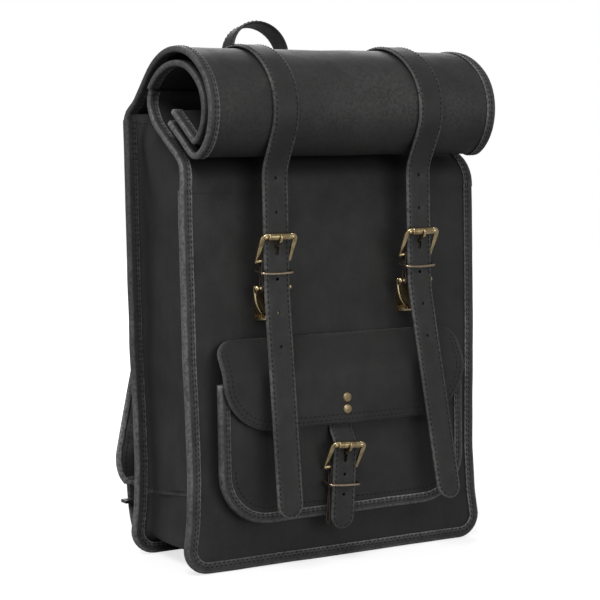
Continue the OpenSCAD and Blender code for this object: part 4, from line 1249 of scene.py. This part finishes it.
def shield(mount, bar_y, bar_z, catch_z):
    """The clasp: a dished shield with a raised rim on a cross-bar with ball ends, and the foot behind it."""
    f = Form()
    y = bar_y + 4.4
    outline = np.array([(0, 2.6), (9, 2.6), (14.5, 2.4), (16.6, 1.0), (16.9, -2.0), (16.4, -8),
                        (15.2, -13.5), (12.6, -19),
                        (9.6, -22.6), (5, -25.0), (0, -25.6)])
    half = smooth_line(outline, 3)
    whole = np.concatenate([half, (half * [-1, 1])[::-1][1:-1]])
    centre = np.array([0, -9.5])
    k = len(whole)
    rows = [(0.02, 2.0), (0.25, 1.9), (0.45, 1.5), (0.62, 0.9), (0.74, 0.25), (0.82, -0.35), (0.88, -0.62),
            (0.94, -0.55),
            (0.985, -0.1), (1.0, 0.5), (0.985, 1.1), (0.94, 1.3), (0.8, 1.5), (0.6, 2.2), (0.3, 3.0),
            (0.02, 3.2)]
    P = np.zeros((len(rows), k, 3))
    for i, (s, depth) in enumerate(rows):
        q = centre + (whole - centre) * s
        P[i, :, 0], P[i, :, 2] = q[:, 0], bar_z + q[:, 1]
        P[i, :, 1] = y + depth * 0.62
    f.add(P, quads(len(rows), k, loop_cols=True), 0, 0)
    for row in (0, len(rows) - 1):
        f.add(P[row], [tuple(range(k))], 0, 0)
    round_bar(f, BAR_R, -17.2, 17.2, bar_y, bar_z, n=20)
    for s in (-1, 1):
        ang = np.linspace(-math.pi / 2, math.pi / 2, 11)
        t = np.linspace(0, 2 * math.pi, 18, endpoint=False)
        B = np.array([[(s * 16.0 + 2.7 * math.sin(a), bar_y + max(2.7 * math.cos(a), 0.02) * math.cos(b),
                        bar_z + max(2.7 * math.cos(a), 0.02) * math.sin(b)) for b in t] for a in ang])
        f.add(B, quads(len(B), len(t), loop_cols=True), 0, 0)
        ear = np.array([(s * 15.7, bar_y + 0.5, bar_z), (s * 15.7, bar_y + 2.5, bar_z - 1.0),
                        (s * 15.4, y + 0.2, bar_z - 3.0)])
        tang = unit(np.gradient(ear, axis=0))
        A = np.tile([1.0, 0, 0], (3, 1))
        sweep(f, ear, A, np.cross(A, tang), rounded(1.1, 2.2, 0.5, 3))
    foot = np.array([(0, y + 0.4, catch_z - 6.4), (0, y + 1.2, catch_z - 6.4), (0, y + 4, catch_z - 6.35),
                     (0, y + 6.4, catch_z - 6.3),
                     (0, y + 6.9, catch_z - 6.3)])
    sweep(f, foot, np.tile([1.0, 0, 0], (5, 1)), np.tile([0, 0, 1.0], (5, 1)), rounded(5.9, 1.1, 0.6, 4),
          scale=[0.9, 1, 1, 0.97, 0.85])
    return moved(f, mount)


KEEPER_BACK = HEEL_BACK + BAR_R + 0.2 + 2.1 + 1.25 + 0.3
for label, side in SIDES:
    m = Mount(side * STRAP_X, LEG_Y, HEEL_Z)
    body = label + "_strap"
    buckle_frame(m).piece(label + "_buckle", [BRASS], body, "antique_brass", [label + "_buckle_frame"])
    buckle_roller(m).piece(label + "_roller_tube", [BRASS], label + "_roller", "antique_brass",
                           [label + "_roller"])
    buckle_prong(m).piece(label + "_prong_pin", [BRASS], label + "_prong", "antique_brass",
                          [label + "_prong"])
    keeper(m, 263.6, LEG_Y + KEEPER_BACK).piece(label + "_wire_keeper", [WIRE], body, "keeper_wire",
                                                [label + "_keeper"])
    bar_y, bar_z = LEG_Y + HEEL_BACK + 0.4, 248.5
    chape(m, STRAP_W - 0.7, bar_y, bar_z, 2.0).piece(label + "_chape_fold", [STRAP, RAW, THREAD], body,
                                                     "chape_leather",
                                                    [label + "_chape"])
    shield(m, bar_y, bar_z, 229.0).piece(label + "_clasp_shield", [BRASS], body, "antique_brass",
                                         [label + "_clasp"])


# ---------------------------------------------------------------- front pocket
def pocket_half(z):
    return panel_half(z, POCKET_HALF, POCKET_LOW, POCKET_R, lambda q: POCKET_HALF + 0 * np.asarray(q, float))


low_zs = POCKET_LOW + POCKET_R * (1 - np.cos(np.linspace(0.06, math.pi / 2, 14)))
zs = np.concatenate([low_zs[:-1], np.linspace(POCKET_LOW + POCKET_R, POCKET_TOP, 18)])
f = Form()
panel_sheet(f, POCKET_Y, -1, zs, lambda z: pocket_half(z) - 0.4, 1.2, 8.8, LEATHER, 32, top_joined=False)
f.piece("pocket_face", [BODY], "bag", "body_leather", ["pocket_front"])

low, high = cad("pocket_binding")
f = Form()
P_RIM = rim_path(POCKET_HALF, POCKET_LOW, POCKET_R, POCKET_TOP,
                 lambda z: POCKET_HALF + 0 * np.asarray(z, float))
binding(f, P_RIM, low[1], high[1], 8.0, seed=11.0, joined=(False, False))
line = inside_rim(P_RIM, 12.6, POCKET_Y - 1.0)
keep = P_RIM[0][:, 1] < POCKET_LOW + POCKET_R * 1.1
stitches(f, line[keep], np.tile([0, -1, 0], (keep.sum(), 1)), 1)
f.piece("pocket_edge_binding", [BIND, THREAD], "bag", "binding_leather", ["pocket_binding"])

f = Form()
front_y, wall_y = POCKET_Y + LEATHER + 0.3, FRONT - 0.3
sec = [(-0.8, front_y), (-3, front_y), (-7, front_y + 0.1), (-9.6, front_y + 0.9), (-11.2, front_y + 2.6),
       (-12, front_y + 5),
       (-12.1, wall_y - 3.6), (-11.2, wall_y - 1.4), (-9.2, wall_y - 0.3), (-6.6, wall_y), (-4.2, wall_y)]


def pocket_out(P, n):
    o = np.zeros_like(P)
    o[..., 0], o[..., 2] = n[:, None, 0], n[:, None, 1]
    o[..., 1] = np.where(P[..., 1] > FRONT - 2.5, -1.2, 0.6)
    return o


round_rim(f, P_RIM, sec, pocket_out, 1.8, wear=0.6)
line = inside_rim(P_RIM, 6.2, wall_y - 0.1)
stitches(f, line, np.tile([0, -1, 0], (len(line), 1)), 1)
f.piece("pocket_side_wall", [BODY, THREAD], "bag", "body_leather", ["pocket_gusset"])

# ---------------------------------------------------------------- flap
FLAP = Path((FRONT - 2.2, FLAP_TOP - 0.8), 240, [(27.0, 0), (14.0, 30), (60.0, 0)])
flap_end = 27.0 + 14.0 + (end_of(Path(FLAP.start, 240, FLAP.steps[:2]))[0][1] - FLAP_LOW) - 1.1
FLAP_HALF = cad("pocket_flap")[1][0] - 1.1
FLAP_R, FLAP_TOP_R = 46.0, 16.0


def flap_half(s):
    low_part = np.clip((s - (flap_end - FLAP_R)) / FLAP_R, 0, 1)
    top_part = np.clip((FLAP_TOP_R - s) / FLAP_TOP_R, 0, 1)
    return (FLAP_HALF - FLAP_R * (1 - np.sqrt(1 - low_part ** 2))
            - FLAP_TOP_R * (1 - np.sqrt(1 - top_part ** 2)))


f = Form()
ss = np.concatenate([FLAP_TOP_R * (1 - np.cos(np.linspace(0, math.pi / 2, 8)))[:-1],
                     np.linspace(FLAP_TOP_R, flap_end - FLAP_R, 14),
                     flap_end - FLAP_R + FLAP_R * np.sin(np.linspace(0, math.pi / 2, 15)[1:])])
xi = np.sin(np.linspace(-math.pi / 2, math.pi / 2, 44)) * 0.55 + np.linspace(-1, 1, 44) * 0.45


def flap_push(s, x):
    """The flap bows a little between its corners and lifts along its lower edge."""
    p = np.stack([x, s, 0 * s], -1)
    soft = np.clip(s / 30, 0, 1)
    return soft * (ruffle(p.reshape(-1, 3), 70, 5.5).reshape(s.shape) * 1.1
                   + 0.6 * np.cos(x / FLAP_HALF * math.pi / 2)
                   + 0.8 * np.clip((s - flap_end + 40) / 40, 0, 1) * np.cos(x / 58.0))


def on_flap(s, x, lift=0.0):
    pos, nor = FLAP.points(np.ravel(s), -FLAP_T)
    pos, nor = pos.reshape(*np.shape(s), 2), nor.reshape(*np.shape(s), 2)
    return yz(x, pos - nor * (flap_push(s, x) + lift)[..., None]), yz(0.0, -nor)


S = np.repeat(ss[:, None], len(xi), 1)
X = flap_half(S) * xi[None]
P, out = on_flap(S, X)
slab(f, P, FLAP_T, out, wear=0.9, soft=0.2)
for inset in (3.4, 7.6):
    edge_s = np.concatenate([np.linspace(FLAP_TOP_R * 0.3 + inset, flap_end - FLAP_R, 24),
                             flap_end - FLAP_R
                             + (FLAP_R - inset) * np.sin(np.linspace(0, math.pi / 2, 18)[1:])])
    q = np.clip((edge_s - (flap_end - FLAP_R)) / (FLAP_R - inset), 0, 1)
    half = np.minimum(flap_half(edge_s), FLAP_HALF) - inset
    half = np.where(edge_s > flap_end - FLAP_R, FLAP_HALF - FLAP_R + (FLAP_R - inset) * np.sqrt(1 - q ** 2),
                    half)
    bottom = np.linspace(FLAP_HALF - FLAP_R, -(FLAP_HALF - FLAP_R), 60)[1:-1]
    ls = np.concatenate([edge_s, np.full(len(bottom), flap_end - inset), edge_s[::-1]])
    lx = np.concatenate([half, bottom, -half[::-1]])
    line, normal = on_flap(ls, lx, 0.05)
    stitches(f, line, normal, 1)
obj = f.piece("flap_leather", [BODY, THREAD], None, "body_leather", ["pocket_flap"])
bend(obj, FLAP.at(1.0)[0], FLAP.at(15.0)[0])

f = Form()
rivet_x = (cad("flap_rivets")[0][0] + cad("flap_rivets")[1][0]) / 2
for z in (147.0, 136.5):
    t = np.linspace(0, 2 * math.pi, 32, endpoint=False)
    cap = [(0.02, 1.75), (1.5, 1.72), (2.6, 1.6), (3.5, 1.3), (4.1, 0.8), (4.35, 0.2), (4.35, -1.2),
           (0.02, -1.2)]
    s_at = float(np.interp(-z, [-FLAP.at(q)[0][1] for q in np.linspace(30, flap_end, 60)],
                           np.linspace(30, flap_end, 60)))
    here, _ = on_flap(np.array([s_at]), np.array([rivet_x]))
    P = np.array([[(rivet_x + r * math.cos(a), here[0, 1] - h, z + r * math.sin(a)) for a in t] for r,
                  h in cap])
    f.add(P, quads(len(P), len(t), loop_cols=True))
f.piece("dull_rivets", [RIVET], "pocket_flap", "rivet_brass", ["flap_rivets"])

# ---------------------------------------------------------------- pocket strap
FLAP_INNER = end_of(Path((FRONT - 2.6, FLAP_TOP - 1.5), 240, [(26.0, 0), (14.0, 30)]))[0][0]
PS = Path((FLAP_INNER + 0.2 + STRAP_T / 2, 152.0), 270,
          [(28.0, 0), (8.0, -40), (8.0, 0), (8.0, 40), (200.0, 0)])
PS_BEND = end_of(Path(PS.start, 270, PS.steps[:4]))[0]
PS_W, P_HEEL, PS_END = 24.0, 85.0, 30.0
pm = Mount(0.0, PS_BEND[0], P_HEEL, POCKET_LEAN)


def ps_at(z):
    return 52.0 + PS_BEND[1] - z


f = Form()
strap_sheet(f, PS, 0, ps_at(PS_END), 0, 0.0, PS_W, holes=[ps_at(z) for z in (79.0, 61.0)],
            slots=[ps_at(P_HEEL + SLOT_UP)], tip=True, wave=0.0, turn=pm)
f.piece("pocket_strap_leather", [STRAP, THREAD], "pocket_flap", "strap_leather", ["pocket_strap"])
buckle_frame(pm).piece("pocket_buckle", [BRASS], "pocket_flap", "antique_brass", ["pocket_buckle_frame"])
buckle_roller(pm).piece("pocket_roller_tube", [BRASS], "pocket_roller", "antique_brass", ["pocket_roller"])
buckle_prong(pm).piece("pocket_prong_pin", [BRASS], "pocket_prong", "antique_brass", ["pocket_prong"])
keeper(pm, 72.0, pm.leg_y + HEEL_BACK + BAR_R + 0.2 + 1.5 + 1.25 + 0.3, 0.8).piece(
    "pocket_wire_keeper", [WIRE], "pocket_flap", "keeper_wire", ["pocket_keeper"])
chape(pm, PS_W - 1.2, pm.leg_y + HEEL_BACK, 37.0, 1.4, 0.35).piece(
    "pocket_chape_fold", [STRAP, RAW, THREAD], "pocket_flap", "chape_leather", ["pocket_chape"])

# ---------------------------------------------------------------- yoke, handle and tabs on the back
f = Form()
low, high = cad("back_yoke")
YOKE_LOW, YOKE_MID = low[2], 352.0
for half, z0, z1, y in ((high[0], YOKE_LOW, YOKE_MID, BACK + 3.0), (46.0, YOKE_MID - 6, 396.0, BACK + 2.4)):
    xs = across(half - 1, pitch=9)
    zs = across((z1 - z0) / 2 - 1, pitch=5) + (z0 + z1) / 2
    P = np.array([[(x, y, z) for x in xs] for z in zs])
    slab(f, P, 2.4, (0, 1, 0), wear=0.8)
    ring = np.array([(-half + 4, z0 + 4), (half - 4, z0 + 4), (half - 4, z1 - 4), (-half + 4, z1 - 4),
                     (-half + 4, z0 + 4)])
    for a, b in zip(ring[:-1], ring[1:]):
        stitches(f, [(a[0], y, a[1]), (b[0], y, b[1])], [(0, 1, 0)] * 2, 1)
f.piece("yoke_leather", [BODY, THREAD], "bag", "body_leather", ["back_yoke"])

HANDLE_P = np.array([BACK + 16.5, 399.0])
HANDLE_R, HANDLE_W, HANDLE_T, HANDLE_LEAN = 31.0, 25.0, 2.8, math.radians(9)
rise_len = 94.0 - HANDLE_R
up = np.array([0, math.sin(HANDLE_LEAN), math.cos(HANDLE_LEAN)])
deep = np.array([0, math.cos(HANDLE_LEAN), -math.sin(HANDLE_LEAN)])
base = np.array([0, HANDLE_P[0], HANDLE_P[1]])
mid_r = HANDLE_R - HANDLE_T / 2
arch = [base + up * (rise_len + mid_r * math.sin(a)) + np.array([mid_r * math.cos(a), 0, 0])
        for a in np.radians(np.linspace(0, 180, 33))]
leg_pts = [base + up * q + np.array([mid_r, 0, 0]) for q in np.linspace(4, rise_len, 14)[:-1]]
foot = smooth_line([(23.0, BACK + 4.6, 356.0), (23.2, BACK + 4.8, 366.0), (24.0, BACK + 5.6, 377.0),
                    (26.4, BACK + 9.8, 388.0),
                    (mid_r, HANDLE_P[0] - 0.6, 398.0)], 6)
side_line = np.concatenate([foot, leg_pts])
line = np.concatenate([side_line, arch, (side_line * [-1, 1, 1])[::-1]])
tang = unit(np.gradient(line, axis=0))
run = np.concatenate([[0], np.cumsum(np.linalg.norm(np.diff(line, axis=0), axis=1))])
foot_run = run[len(foot) - 1]
twist = np.clip((np.minimum(run, run[-1] - run) - foot_run * 0.35) / (foot_run * 0.62), 0, 1)
twist = twist * twist * (3 - 2 * twist)
sides = np.where(run < run[-1] / 2, 1.0, -1.0)
wide = unit(np.outer(1 - twist, [1.0, 0, 0]) * sides[:, None] + twist[:, None] * deep[None])
wide = unit(wide - tang * (wide * tang).sum(1, keepdims=True))
wide[np.abs(run - run[-1] / 2) < 1] = deep
thick = np.cross(tang, wide)
xs = across(HANDLE_W / 2 - 1.2)
P = line[:, None] + wide[:, None] * xs[None, :, None]
outward = np.stack([line[:, 0] * twist, (1 - twist) * 40, np.clip(line[:, 2] - 455, 0, None)], 1)
sign = np.sign((thick * outward).sum(1))
sign[sign == 0] = 1
P = P + (thick * sign[:, None])[:, None] * HANDLE_T / 2
f = Form()
face, N = slab(f, P, HANDLE_T, (thick * sign[:, None])[:, None] * np.ones((1, len(xs), 1)), wear=0.8)
for j in (3, len(xs) - 4):
    stitches(f, face[:, j] + N[:, j] * 0.05, N[:, j], 1)
obj = f.piece("handle_strap", [STRAP, THREAD], None, "strap_leather", ["handle_loop"])
bend(obj, (HANDLE_P[0] - 1, 391.0), (HANDLE_P[0] + 1, 408.0))

f = Form()
low, high = cad("lower_tabs")
for label, side in SIDES:
    x0 = side * (high[0] - 14)
    xs, zs = across(13.2, pitch=6), across((high[2] - low[2]) / 2 - 1, pitch=6) + (low[2] + high[2]) / 2
    P = np.array([[(x0 + x, high[1], z) for x in xs] for z in zs])
    slab(f, P, 3.0, (0, 1, 0), wear=0.8)
    for a, b in (((-9, 10), (9, 10)), ((9, 10), (-9, 30)), ((-9, 30), (9, 30)), ((9, 30), (-9, 10))):
        stitches(f, [(x0 + a[0], high[1], a[1]), (x0 + b[0], high[1], b[1])], [(0, 1, 0)] * 2, 1)
f.piece("lower_tab_leather", [BODY, THREAD], "bag", "body_leather", ["lower_tabs"])

# ---------------------------------------------------------------- shoulder straps
SH_X, SPLAY, SH_START = 52.0, math.radians(16.5), np.array([BACK + 17, 336.0])
SHOULDER = Path(SH_START, 287.68, [(40.0, 0), (138.0, -24), (118.0, -4)])
SH_HALF, SH_T = 29.0, 12.0


def splayed(P, side):
    """Leans a shoulder strap out from the middle of the back."""
    P = P.copy()
    x, z = P[..., 0].copy(), P[..., 2] - SH_START[1]
    c, s = math.cos(SPLAY), math.sin(SPLAY)
    P[..., 0] = side * (SH_X + x * c - z * s)
    P[..., 2] = SH_START[1] + x * s + z * c
    return P


def pad_width(s):
    """The pad narrows into its sewn ends."""
    q = np.clip(s / 26, 0, 1)
    r = np.clip((SHOULDER.length - s) / 30, 0, 1)
    return SH_HALF * (0.74 + 0.26 * q ** 0.6) * (0.30 + 0.70 * np.sqrt(1 - (1 - r) ** 2))


def padded_core(swell):
    f = Form()
    ss = np.linspace(1.5, SHOULDER.length - 1.5, 64)
    pos, nor = SHOULDER.points(ss)
    ang = np.linspace(0, 2 * math.pi, 40, endpoint=False)
    ends = np.clip(np.minimum(ss, SHOULDER.length - ss) / 14, 0, 1) ** 0.5
    P = np.zeros((len(ss), len(ang), 3))
    for i, s in enumerate(ss):
        w = pad_width(s) - 1.2
        c, q = np.cos(ang), np.sin(ang)
        a = w * np.sign(c) * np.abs(c) ** 0.55
        b = (SH_T / 2 * swell) * (0.35 + 0.65 * ends[i]) * np.sign(q) * np.abs(q) ** 0.8
        P[i, :, 0] = a
        P[i, :, 1] = pos[i, 0] + nor[i, 0] * b
        P[i, :, 2] = pos[i, 1] + nor[i, 1] * b
    f.add(P, quads(len(ss), len(ang), loop_cols=True))
    for row in (0, len(ss) - 1):
        f.add(P[row], [tuple(range(len(ang)))])
    return f


PAD_VOXEL, PAD_CAP, PAD_PRESSURE = 4.0, 2.4, 4.0


def puffed(obj):
    """Inflates a pad a little with cloth, and caps how far each point may move."""
    view = bpy.context.view_layer
    bpy.ops.object.select_all(action="DESELECT")
    obj.select_set(True)
    view.objects.active = obj
    re = obj.modifiers.new("remesh", "REMESH")
    re.mode, re.voxel_size, re.use_smooth_shade = "VOXEL", PAD_VOXEL * MM, True
    bpy.ops.object.modifier_apply(modifier=re.name)
    before = np.array([v.co for v in obj.data.vertices])
    cloth = obj.modifiers.new("cloth", "CLOTH")
    s = cloth.settings
    s.use_pressure, s.uniform_pressure_force, s.quality = True, PAD_PRESSURE, 5
    s.effector_weights.gravity = 0
    s.tension_stiffness = s.compression_stiffness = 25
    cloth.collision_settings.use_collision = False
    scene = bpy.context.scene
    for frame_no in range(1, 21):
        scene.frame_set(frame_no)
    done = obj.evaluated_get(bpy.context.evaluated_depsgraph_get())
    after = np.array([v.co for v in done.data.vertices])
    obj.modifiers.remove(cloth)
    scene.frame_set(1)
    move = after - before
    size = np.linalg.norm(move, axis=1, keepdims=True)
    after = before + move * np.minimum(1, PAD_CAP * MM / np.maximum(size, 1e-9))
    obj.data.vertices.foreach_set("co", after.astype(np.float32).ravel())
    obj.data.update()


pad = padded_core(0.72).piece("pad_source", [PAD, THREAD])
puffed(pad)
pad_co = np.array([v.co for v in pad.data.vertices]) / MM
pad_faces = [tuple(p.vertices) for p in pad.data.polygons]
bpy.data.objects.remove(pad)

# sewn channels: the pad is drawn in along two lines near its edges
s_line = np.linspace(0, SHOULDER.length, 200)
line_pos, line_nor = SHOULDER.points(s_line)
near = np.argmin(np.linalg.norm(pad_co[:, None, 1:] - line_pos[None], axis=2), 1)
s_of, n_of = s_line[near], line_nor[near]
off = ((pad_co[:, 1:] - line_pos[near]) * n_of).sum(1)
w_of = pad_width(s_of)
rim = np.abs(np.abs(pad_co[:, 0]) - (w_of - 7.0))
pull = 1 - 0.34 * np.exp(-(rim / 2.6) ** 2)
pad_co[:, 1:] += n_of * (off * (pull - 1))[:, None]

for label, side in SIDES:
    body = label + "_shoulder"
    f = Form()
    faces = pad_faces if side > 0 else [q[::-1] for q in pad_faces]
    f.add(splayed(pad_co, side), faces)
    obj = f.piece(label + "_shoulder_pad", [PAD, THREAD], body, "padded_leather", [label + "_shoulder_strap"])
    sub = obj.modifiers.new("smooth", "SUBSURF")
    sub.levels = sub.render_levels = 1

    f = Form()
    ss = np.linspace(3, SHOULDER.length - 3, 90)
    ws = pad_width(ss) - 3.0
    pos, nor = SHOULDER.points(ss)
    right_edge = yz(ws, pos)
    left_edge = yz(-ws, pos)[::-1]
    foot_arc = [(ws[-1] * math.cos(a), *pos[-1]) for a in np.radians([60, 90, 120])]
    loop = np.concatenate([right_edge, foot_arc, left_edge])
    ln = np.concatenate([nor, [nor[-1]] * 3, nor[::-1]])
    tang = unit(np.roll(loop, -1, 0) - np.roll(loop, 1, 0))
    B = yz(0.0, ln)
    A = unit(np.cross(tang, B))
    sweep(f, loop, A, B, rounded(2.6, 2.0, 1.6, 4), wear=0.85, closed=True)
    f.v = [splayed(v, side) for v in f.v]
    for face_side in (-1, 1):
        row = yz((ws - 6.0), pos + nor * face_side * SH_T * 0.30)
        for flip in (1, -1):
            r = row.copy()
            r[:, 0] *= flip
            d = np.abs(pad_co[None, :, 0] - r[:, None, 0]) + np.linalg.norm(pad_co[None, :, 1:]
                                                                            - r[:, None, 1:], axis=2)
            hit = pad_co[np.argmin(d, 1)]
            depth = ((hit[:, 1:] - pos) * nor).sum(1)
            depth = np.convolve(np.pad(depth, 4, mode="edge"), np.ones(9) / 9, "valid")
            r[:, 1:] = pos + nor * (depth + face_side * 0.5)[:, None]
            stitches(f, splayed(r, side), yz(0.0, nor * face_side), 1)
    f.piece(label + "_shoulder_edge", [BIND, THREAD], body, "padded_leather")

    # the sewn upper end, from the yoke out to the pad
    f = Form()
    tab = smooth_line([(BACK + 1.6, 342.0), (BACK + 4.8, 339.0), (BACK + 11.0, 335.5),
                       (SH_START[0] + 1.2, 329.0),
                       (SH_START[0] + 5.0, 318.0), (SH_START[0] + 8.6, 306.0)], 4)
    t2 = unit(np.gradient(tab, axis=0))
    n2 = np.stack([-t2[:, 1], t2[:, 0]], 1)
    lift = np.interp(np.arange(len(tab)), [0, 12, len(tab) - 1], [0.0, 3.2, SH_T / 2 + 0.7])
    rows = tab + n2 * lift[:, None] * -1 * np.sign((n2 @ np.array([-1.0, 0.0])))[:, None]
    halfs = np.interp(np.arange(len(tab)), [0, 6, len(tab) - 3, len(tab) - 1], [21, 21, 20, 15])
    xs = np.linspace(-1, 1, 17)
    P = np.stack([yz(halfs * q, rows) for q in xs], 1)
    slab(f, splayed(P, side), 2.4, (0, 1, 0.3), wear=0.8)
    obj = f.piece(label + "_shoulder_top", [STRAP, THREAD], None, "strap_leather")
    bend(obj, (tab[3][0], tab[3][1]), (tab[-4][0], tab[-4][1]))

    # the plain lower strap, through its slide to the tab
    f = Form()
    start = np.array([end_of(SHOULDER)[0][0], 336 - (336 - end_of(SHOULDER)[0][1]) * math.cos(SPLAY) - 8])
    ls = Path(start + [1.0, 18.0], 266, [(18.0, -4), (6.0, 0), (22.0, -22), (18.0, 0)])
    strap_sheet(f, ls, 0, ls.length, 0, side * 134.0, STRAP_W, t=3.0, wave=0.0)
    obj = f.piece(label + "_lower_webbing", [STRAP, THREAD], None, "strap_leather", [label + "_lower_strap"])
    bend(obj, ls.at(24.0)[0], ls.at(ls.length - 4)[0])

# ---------------------------------------------------------------- metal that keeps its CAD shape
for name, metal in (("left_slide", COATED), ("right_slide", COATED), ("clasp_catches", BRASS),
                    ("magnet_stud", BRASS),
                    ("magnet_socket", BRASS)):
    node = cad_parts[name]
    node.data.materials.clear()
    node.data.materials.append(metal)
    weld = node.modifiers.new("weld", "WELD")
    weld.merge_threshold = 0.00001
    bevel = node.modifiers.new("bevel", "BEVEL")
    bevel.width, bevel.segments, bevel.limit_method = 0.35 * MM, 2, "ANGLE"
    bevel.angle_limit = math.radians(35)
    node.modifiers.new("normals", "WEIGHTED_NORMAL")


# ---------------------------------------------------------------- floor, light and camera
def floor():
    mesh = bpy.data.meshes.new("floor")
    r, n = 6.0, 48
    verts = [(0, 0, 0)] + [(r * math.cos(a), r * math.sin(a), 0)
                           for a in np.linspace(0, 2 * math.pi, n, endpoint=False)]
    mesh.from_pydata(verts, [], [(0, i + 1, (i + 1) % n + 1) for i in range(n)])
    mat, tree, bsdf, coord = nodes_of("floor")
    n = noise_at(tree, coord, 300.0)
    tree.links.new(mix(tree, n, (0.36, 0.36, 0.36), (0.40, 0.40, 0.40)), bsdf.inputs["Base Color"])
    bsdf.inputs["Roughness"].default_value = 0.75
    # the pale floor fades into the white backdrop with distance; only the camera sees that lift
    far = tree.nodes.new("ShaderNodeVectorMath")
    far.operation = "LENGTH"
    tree.links.new(coord, far.inputs[0])
    seen = tree.nodes.new("ShaderNodeLightPath").outputs["Is Camera Ray"]
    lift = math_node(tree, "MULTIPLY", ramp(tree, far.outputs["Value"], 0.2, 1.2, 0.72, 1.0), seen)
    bsdf.inputs["Emission Color"].default_value = (1, 1, 1, 1)
    tree.links.new(lift, bsdf.inputs["Emission Strength"])
    mesh.materials.append(mat)
    obj = bpy.data.objects.new("floor", mesh)
    bpy.context.scene.collection.objects.link(obj)
    obj.location.z = -0.0004
    obj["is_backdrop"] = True


def area(name, place, aim, size, power):
    data = bpy.data.lights.new(name, "AREA")
    data.shape, data.size, data.size_y, data.energy = "RECTANGLE", size[0], size[1], power
    obj = bpy.data.objects.new(name, data)
    obj.location = place
    obj.rotation_euler = (Vector(aim) - Vector(place)).to_track_quat("-Z", "Y").to_euler()
    bpy.context.scene.collection.objects.link(obj)


floor()
area("key", (-1.5, -1.5, 2.9), (0, 0, 0.3), (1.5, 1.5), 76)
area("front", (0.3, -2.8, 0.5), (0, 0, 0.3), (1.8, 1.0), 16)
area("side", (-2.9, 0.5, 1.1), (0, 0, 0.25), (1.4, 1.6), 9)
area("back", (1.2, 2.6, 1.9), (0, 0, 0.3), (1.8, 1.6), 34)
world = bpy.data.worlds.new("studio")
world.use_nodes = True
backdrop = world.node_tree.nodes["Background"]
backdrop.inputs["Color"].default_value = (1, 1, 1, 1)
seen = world.node_tree.nodes.new("ShaderNodeLightPath").outputs["Is Camera Ray"]
world.node_tree.links.new(ramp(world.node_tree, seen, 0.0, 1.0, 0.36, 1.0), backdrop.inputs["Strength"])
bpy.context.scene.world = world
bpy.context.scene.view_settings.view_transform = "Standard"

YAW, PITCH, ROLL_ANGLE = math.radians(30.37), math.radians(4.08), math.radians(-1.1)
ahead = Vector((math.sin(YAW) * math.cos(PITCH), math.cos(YAW) * math.cos(PITCH), -math.sin(PITCH)))
level = Vector((math.cos(YAW), -math.sin(YAW), 0))
upward = level.cross(ahead)
right = level * math.cos(ROLL_ANGLE) + upward * math.sin(ROLL_ANGLE)
top = upward * math.cos(ROLL_ANGLE) - level * math.sin(ROLL_ANGLE)
camera = bpy.data.objects.new("camera", bpy.data.cameras.new("camera"))
camera.data.lens = 106.88
camera.data.sensor_width = 36.0
turn = Matrix((right, top, -ahead)).transposed().to_4x4()
camera.matrix_world = Matrix.Translation((-0.8368, -1.4218, 0.3475)) @ turn
bpy.context.scene.collection.objects.link(camera)
bpy.context.scene.camera = camera

low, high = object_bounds()
